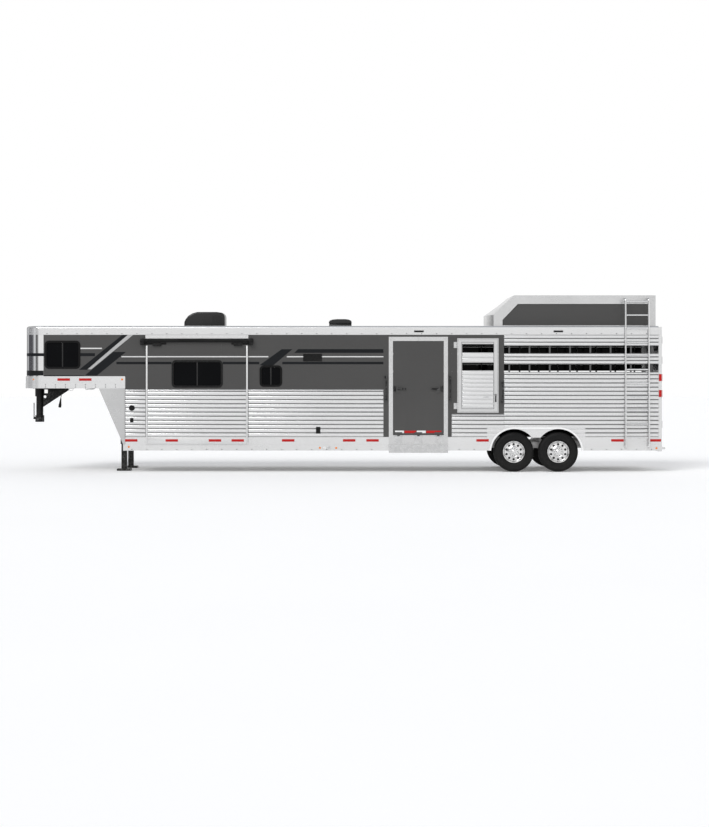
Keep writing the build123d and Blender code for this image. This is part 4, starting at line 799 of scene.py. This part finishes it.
for x0, x1 in ((-4.074, -3.994), (-1.902, -1.822)):
    cap = addRod("cap", (x0, rollCap["y"], rollCap["z"]), (x1, rollCap["y"], rollCap["z"]),
                 rollCap["radius"], 32)
    pickFaces(cap, lambda f: abs(f.normal.x) > 0.9)
    bpy.ops.mesh.inset(thickness=rollCap["rim"], use_individual=True)
    bpy.ops.mesh.extrude_faces_move(TRANSFORM_OT_shrink_fatten={"value": rollCap["boss"]})
    leaveEdit()
    endCaps.append(soften(cap, rollCap["bevel"], 2))
finishPiece(joinAll("topperEnds", endCaps), "slide_room", blackPlastic)

# Black ports and the vent with its louvre on the left wall
portLook = {"rim": 0.012, "recess": 0.002, "bevel": 0.003, "slats": 6, "slatPitch": 0.0195}


def recessFace(piece):
    # The face that looks out of the left wall is set back inside a rim.
    pickFaces(piece, lambda f: f.normal.y < -0.9)
    bpy.ops.mesh.inset(thickness=portLook["rim"])
    bpy.ops.mesh.extrude_region_move(TRANSFORM_OT_translate={"value": (0, portLook["recess"], 0)})
    leaveEdit()
    return soften(piece, portLook["bevel"], 2)


ports = [recessFace(addRod("port", (-4.251, -1.217, 1.280), (-4.251, -1.239, 1.280), 0.058, 40))]
for x0, x1, z0, z1, proud in ((-4.284, -4.218, 0.992, 1.080, 0.018), (-0.566, -0.478, 0.772, 0.904, 0.018),
                              (-0.822, -0.446, 2.217, 2.365, 0.0155)):
    ports.append(recessFace(addBlock("port", (x0, -sideY - proud, z0), (x1, -sideY + 0.001, z1))))
louvre = soften(addBlock("louvre", (-0.806, -1.2350, 2.236), (-0.462, -1.2300, 2.244)), 0.002, 1)
ports.append(repeatPiece(louvre, portLook["slats"], (0, 0, portLook["slatPitch"])))
finishPiece(joinAll("wallPorts", ports), "trailer_body", blackPlastic)
drainCap = addRod("drainCap", (-0.307, -1.219, 0.482), (-0.307, -1.2335, 0.482), 0.043, 32)
pickFaces(drainCap, lambda f: f.normal.y < -0.9)
bpy.ops.mesh.inset(thickness=0.010)
bpy.ops.transform.translate(value=(0, 0.003, 0))
leaveEdit()
finishPiece(soften(drainCap, 0.002, 2), "trailer_body", railAlloy)
print("ports and slide-out trims are on")

# Planks over the skirts, cut round the wheel trim
skirt = {"trim": 0.4975, "axles": (3.397, 4.289), "hub": 0.400, "top": 0.8975, "near": 1.20, "far": 1.26}
for side, panels in ((-1, ((2.151, 3.1975, floorTop, 1.158), (3.1985, trailer["wallRear"], floorTop, 2.004))),
                     (1, ((0.787, trailer["wallRear"], floorTop, 2.004),))):
    rows = []
    for x0, x1, low, high in panels:
        rows += plankPanel(x0, x1, low, high, side * sideY, side)
    wall = joinAll("skirtPlanksLeft" if side < 0 else "skirtPlanksRight", rows)
    near, far = side * skirt["near"], side * skirt["far"]
    cutters = [addRod("cutter", (x, near, skirt["hub"]), (x, far, skirt["hub"]), skirt["trim"], 96)
               for x in skirt["axles"]]
    cutters.append(addBlock("cutter", (skirt["axles"][0], near, skirt["hub"]),
                            (skirt["axles"][1], far, skirt["top"])))
    for cutter in cutters:
        cut = wall.modifiers.new("trimCut", "BOOLEAN")
        cut.operation = "DIFFERENCE"
        cut.solver = "EXACT"
        cut.object = cutter
    useModifiers(wall)
    deselectAll()
    for cutter in cutters:
        bpy.data.objects.remove(cutter)
    finishPiece(smooth(wall), "trailer_body", ribAlloy)
print("skirt planks are cut")

# Tyres and wheels, made once at the middle and copied to the four places
wheelLook = {"holes": 10, "holeRing": 0.150, "holeRadius": 0.0235, "nuts": 10, "nutRing": 0.074,
             "nutRadius": 0.010, "capRadius": 0.046, "capHeight": 0.020, "track": 1.0765, "height": 0.400,
             "lugs": 60}
hubHeight = wheelLook["height"]


def spinProfile(name, profile, steps=80):
    # A closed section of radius and outward offset, turned once round the axle line.
    deselectAll()
    bpy.ops.mesh.primitive_circle_add(vertices=len(profile), radius=1, fill_type="NOTHING")
    piece = bpy.context.object
    for vertex, (radius, out) in zip(piece.data.vertices, profile):
        vertex.co = (0, -out, hubHeight + radius)
    bpy.ops.object.mode_set(mode="EDIT")
    bpy.ops.mesh.select_all(action="SELECT")
    bpy.ops.mesh.spin(steps=steps, angle=2 * math.pi, center=(0, 0, hubHeight), axis=(0, 1, 0))
    bpy.ops.mesh.select_all(action="SELECT")
    bpy.ops.mesh.remove_doubles(threshold=0.0001)
    bpy.ops.mesh.normals_make_consistent(inside=False)
    leaveEdit()
    return nameIt(piece, name)


halfTyre = [(0.2225, 0.085), (0.240, 0.100), (0.262, 0.1095), (0.268, 0.1128), (0.273, 0.1128), (0.277, 0.1110),
            (0.305, 0.1160), (0.334, 0.1165), (0.338, 0.1174), (0.345, 0.1174), (0.349, 0.1145), (0.372, 0.107),
            (0.387, 0.098), (0.3955, 0.087), (0.3980, 0.064), (0.390, 0.062), (0.390, 0.053), (0.3990, 0.051),
            (0.3995, 0.021), (0.390, 0.019), (0.390, 0.010), (0.3995, 0.008)]
tyreShape = spinProfile("tyreShape", halfTyre + [(r, -out) for r, out in reversed(halfTyre)], 96)
lug = addBlock("lug", (-0.0045, -0.1085, hubHeight + 0.372), (0.0045, -0.086, hubHeight + 0.3935))
lug = soften(lug, 0.002, 1)
hubCentre = Vector((0, 0, hubHeight))
lugRing = []
for step in range(wheelLook["lugs"]):
    copy = copyOf(lug, "lug")
    copy.rotation_euler = (0, 2 * math.pi * step / wheelLook["lugs"], 0)
    copy.location = hubCentre - copy.rotation_euler.to_matrix() @ hubCentre
    settle(copy)
    lugRing.append(copy)
bpy.data.objects.remove(lug)
tyreShape = smooth(joinAll("tyreShape", [tyreShape] + lugRing), 30)
rimShape = spinProfile("rimShape", [
    (0.2215, -0.090), (0.2215, 0.098), (0.2170, 0.104), (0.2075, 0.101), (0.2000, 0.086), (0.1930, 0.058),
    (0.1780, 0.045), (0.1500, 0.050), (0.1200, 0.060), (0.0980, 0.069), (0.0920, 0.078), (0.0010, 0.078),
    (0.0010, 0.060), (0.0900, 0.052), (0.1200, 0.044), (0.1500, 0.036), (0.1800, 0.030), (0.2000, 0.030),
    (0.2080, 0.0), (0.2100, -0.090)])
for step in range(wheelLook["holes"]):
    turn = 2 * math.pi * step / wheelLook["holes"]
    x, z = wheelLook["holeRing"] * math.sin(turn), hubHeight + wheelLook["holeRing"] * math.cos(turn)
    drill = addRod("drill", (x, 0.0, z), (x, -0.12, z), wheelLook["holeRadius"], 20)
    hole = rimShape.modifiers.new("handHole", "BOOLEAN")
    hole.operation = "DIFFERENCE"
    hole.solver = "EXACT"
    hole.object = drill
    useModifiers(rimShape)
    bpy.data.objects.remove(drill)
capShape = addDome("cap", (0, -0.077, hubHeight), wheelLook["capRadius"], (0, -1, 0),
                   wheelLook["capHeight"], 32, 10)
rimShape = smooth(joinAll("rimShape", [rimShape, capShape]), 35)
nutShapes = []
for step in range(wheelLook["nuts"]):
    turn = 2 * math.pi * (step + 0.5) / wheelLook["nuts"]
    x, z = wheelLook["nutRing"] * math.sin(turn), hubHeight + wheelLook["nutRing"] * math.cos(turn)
    nutShapes.append(soften(addRod("nut", (x, -0.077, z), (x, -0.092, z), wheelLook["nutRadius"], 6), 0.0015, 1))
backPlate = spinProfile("backPlate", [(0.202, 0.010), (0.202, 0.016), (0.0010, 0.016), (0.0010, 0.010)], 48)
nutShape = smooth(joinAll("nutShape", nutShapes + [backPlate]), 30)
for axle, axleName in zip(skirt["axles"], ("front", "rear")):
    for side, sideName in ((-1, "left"), (1, "right")):
        place = f"{axleName}_{sideName}"
        turn = 0 if side < 0 else math.pi
        shift = (axle, side * wheelLook["track"], 0)
        finishPiece(copyOf(tyreShape, f"tyreTread_{place}", shift, turn), f"wheel_{place}", tyreRubber,
                    [f"tyre_{place}"])
        finishPiece(copyOf(rimShape, f"wheelRim_{place}", shift, turn), f"wheel_{place}",
                    wheelAlloy, [f"wheel_{place}"])
        finishPiece(copyOf(nutShape, f"wheelNuts_{place}", shift, turn), f"wheel_{place}",
                    blackSteel)
for spare in (tyreShape, rimShape, nutShape):
    bpy.data.objects.remove(spare)
print("wheels are on")

# Roof air conditioner and roof vent
airBox = {"front": -3.283, "rear": -2.452, "half": 0.298, "low": 2.926, "top": 3.231}
length = airBox["rear"] - airBox["front"]
rise = airBox["top"] - airBox["low"]
shroudLine = [(0, 0), (0, 0.32), (0.035, 0.52), (0.10, 0.74), (0.20, 0.91), (0.32, 1.0), (0.80, 1.0),
              (0.93, 0.95), (0.985, 0.84), (1.0, 0.66), (1.0, 0)]
shroudCorners = [(airBox["front"] + a * length, airBox["low"] + b * rise) for a, b in shroudLine]
shroud = outline("airShroud", shroudCorners, -airBox["half"], 2 * airBox["half"])
soften(shroud, 0.030, 4, 40)
slats = []
for side in (-1, 1):
    slat = addBlock("slat", (-2.700, side * (airBox["half"] - 0.004), 3.010),
                    (-2.690, side * (airBox["half"] + 0.003), 3.160))
    slats.append(repeatPiece(soften(slat, 0.002, 1), 9, (0.022, 0, 0)))
baseRing = soften(addBlock("airBase", (airBox["front"] - 0.008, -airBox["half"] - 0.006, airBox["low"]),
                           (airBox["rear"] + 0.008, airBox["half"] + 0.006, airBox["low"] + 0.024)), 0.006, 2)
ventBase = soften(addBlock("ventBase", (-0.316, -0.231, airBox["low"]), (0.146, 0.231, 2.981)), 0.008, 2)
finishPiece(joinAll("roofUnitShells", [shroud, baseRing, ventBase] + slats), "trailer_body",
            shellPlastic, ["roof_units"])
ventLine = [(-0.321, 2.985), (-0.321, 3.030), (-0.300, 3.060), (-0.245, 3.078), (-0.150, 3.086),
            (0.020, 3.086), (0.090, 3.076), (0.135, 3.055), (0.147, 3.030), (0.147, 2.985)]
ventTop = soften(outline("ventLidShell", ventLine, -0.236, 0.472), 0.020, 4, 40)
finishPiece(ventTop, "vent_lid", shellPlastic, ["vent_lid"])
print("roof units are on")

# Centre bars of the sliding windows, in front of the fixed glass and clear of the sash behind it
centreBar = {"width": 0.026, "front": 0.0160, "back": 0.0101}
for sashName, body, centre in (("slide_sash", "slide_room", -2.941), ("nose_sash", "trailer_body", -5.639),
                               ("small_sash", "trailer_body", -1.469)):
    low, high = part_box(sashName)
    half = centreBar["width"] / 2
    mullion = addBlock(f"centreBar_{sashName}", (centre - half, low[1] - centreBar["front"], low[2]),
                       (centre + half, low[1] - centreBar["back"], high[2]))
    finishPiece(soften(mullion, 0.0015, 2), body, barBlack)

# Moulding round the escape door's infill, in the dark groove alloy as a painted shadow line
moulding = {"x0": 2.345, "x1": 2.990, "z0": 1.262, "z1": 2.601, "width": 0.009, "proud": 0.003}
wide = moulding["width"]
mouldingBars = []
for x0, x1, z0, z1 in ((moulding["x0"], moulding["x0"] + wide, moulding["z0"], moulding["z1"]),
                       (moulding["x1"], moulding["x1"] + wide, moulding["z0"], moulding["z1"]),
                       (moulding["x0"] + wide, moulding["x1"], moulding["z0"], moulding["z0"] + wide),
                       (moulding["x0"] + wide, moulding["x1"], moulding["z1"] - wide, moulding["z1"])):
    mouldingBar = addBlock("mouldingBar", (x0, -sideY - moulding["proud"], z0), (x1, -sideY, z1))
    mouldingBars.append(soften(mouldingBar, 0.001, 2))
finishPiece(joinAll("escapeShadowMoulding", mouldingBars), "escape_door", grooveShadeAlloy)

# Latch blocks at the ramp's edges
rampBlocks = [soften(addBlock("latchBlock", (x, -1.2365, 1.610), (x + 0.050, -1.2205, 1.720)), 0.004, 2)
              for x in (0.984, 1.932)]
finishPiece(joinAll("rampLatchBlocks", rampBlocks), "ramp", blackSteel)

# Rivet rows along the rails
rivet = {"radius": 0.0100, "height": 0.005, "y": sideY + 0.0006, "nosePitch": 0.200, "railPitch": 0.300}


def rivetRow(x0, x1, z, side, spacing):
    head = addDome("rivet", (x0, side * rivet["y"], z), rivet["radius"], (0, side, 0), rivet["height"], 10, 4)
    return repeatPiece(head, int((x1 - x0) / spacing) + 1, (spacing, 0, 0))


rivetRows = []
for side in (-1, 1):
    rivetRows += [rivetRow(-5.98, -4.45, z, side, rivet["nosePitch"]) for z in (1.700, 1.745)]
    rivetRows += [rivetRow(x0, x1, 0.452, side, rivet["railPitch"])
                  for x0, x1 in ((-4.25, 0.70), (2.30, 2.80), (4.95, 6.25))]
    rivetRows.append(rivetRow(-5.95, 6.20, 2.768, side, rivet["railPitch"]))
finishPiece(smooth(joinAll("rivetHeads", rivetRows)), "trailer_body", rivetSteel)

# The short trailer lead under the nose
plugLead = {"radius": 0.007, "length": 0.168,
            "route": ((-5.805, -0.180, 1.628), (-5.805, -0.180, 1.588), (-5.810, -0.183, 1.544),
                      (-5.820, -0.181, 1.502), (-5.825, -0.179, 1.462))}
leadData = bpy.data.curves.new("plugLead", "CURVE")
leadData.dimensions = "3D"
leadData.bevel_depth = plugLead["radius"]
leadData.bevel_resolution = 4
leadData.resolution_u = 12
leadData.use_fill_caps = True
leadLine = leadData.splines.new("NURBS")
leadLine.points.add(len(plugLead["route"]) - 1)
for point, spot in zip(leadLine.points, plugLead["route"]):
    point.co = (*spot, 1)
leadLine.order_u = 3
leadLine.use_endpoint_u = True
leadPiece = bpy.data.objects.new("plugLead", leadData)
bpy.context.collection.objects.link(leadPiece)
leadData.materials.append(softRubber)
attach(leadPiece, "trailer_body")
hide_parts("plug_cable")
print("the lead hangs")
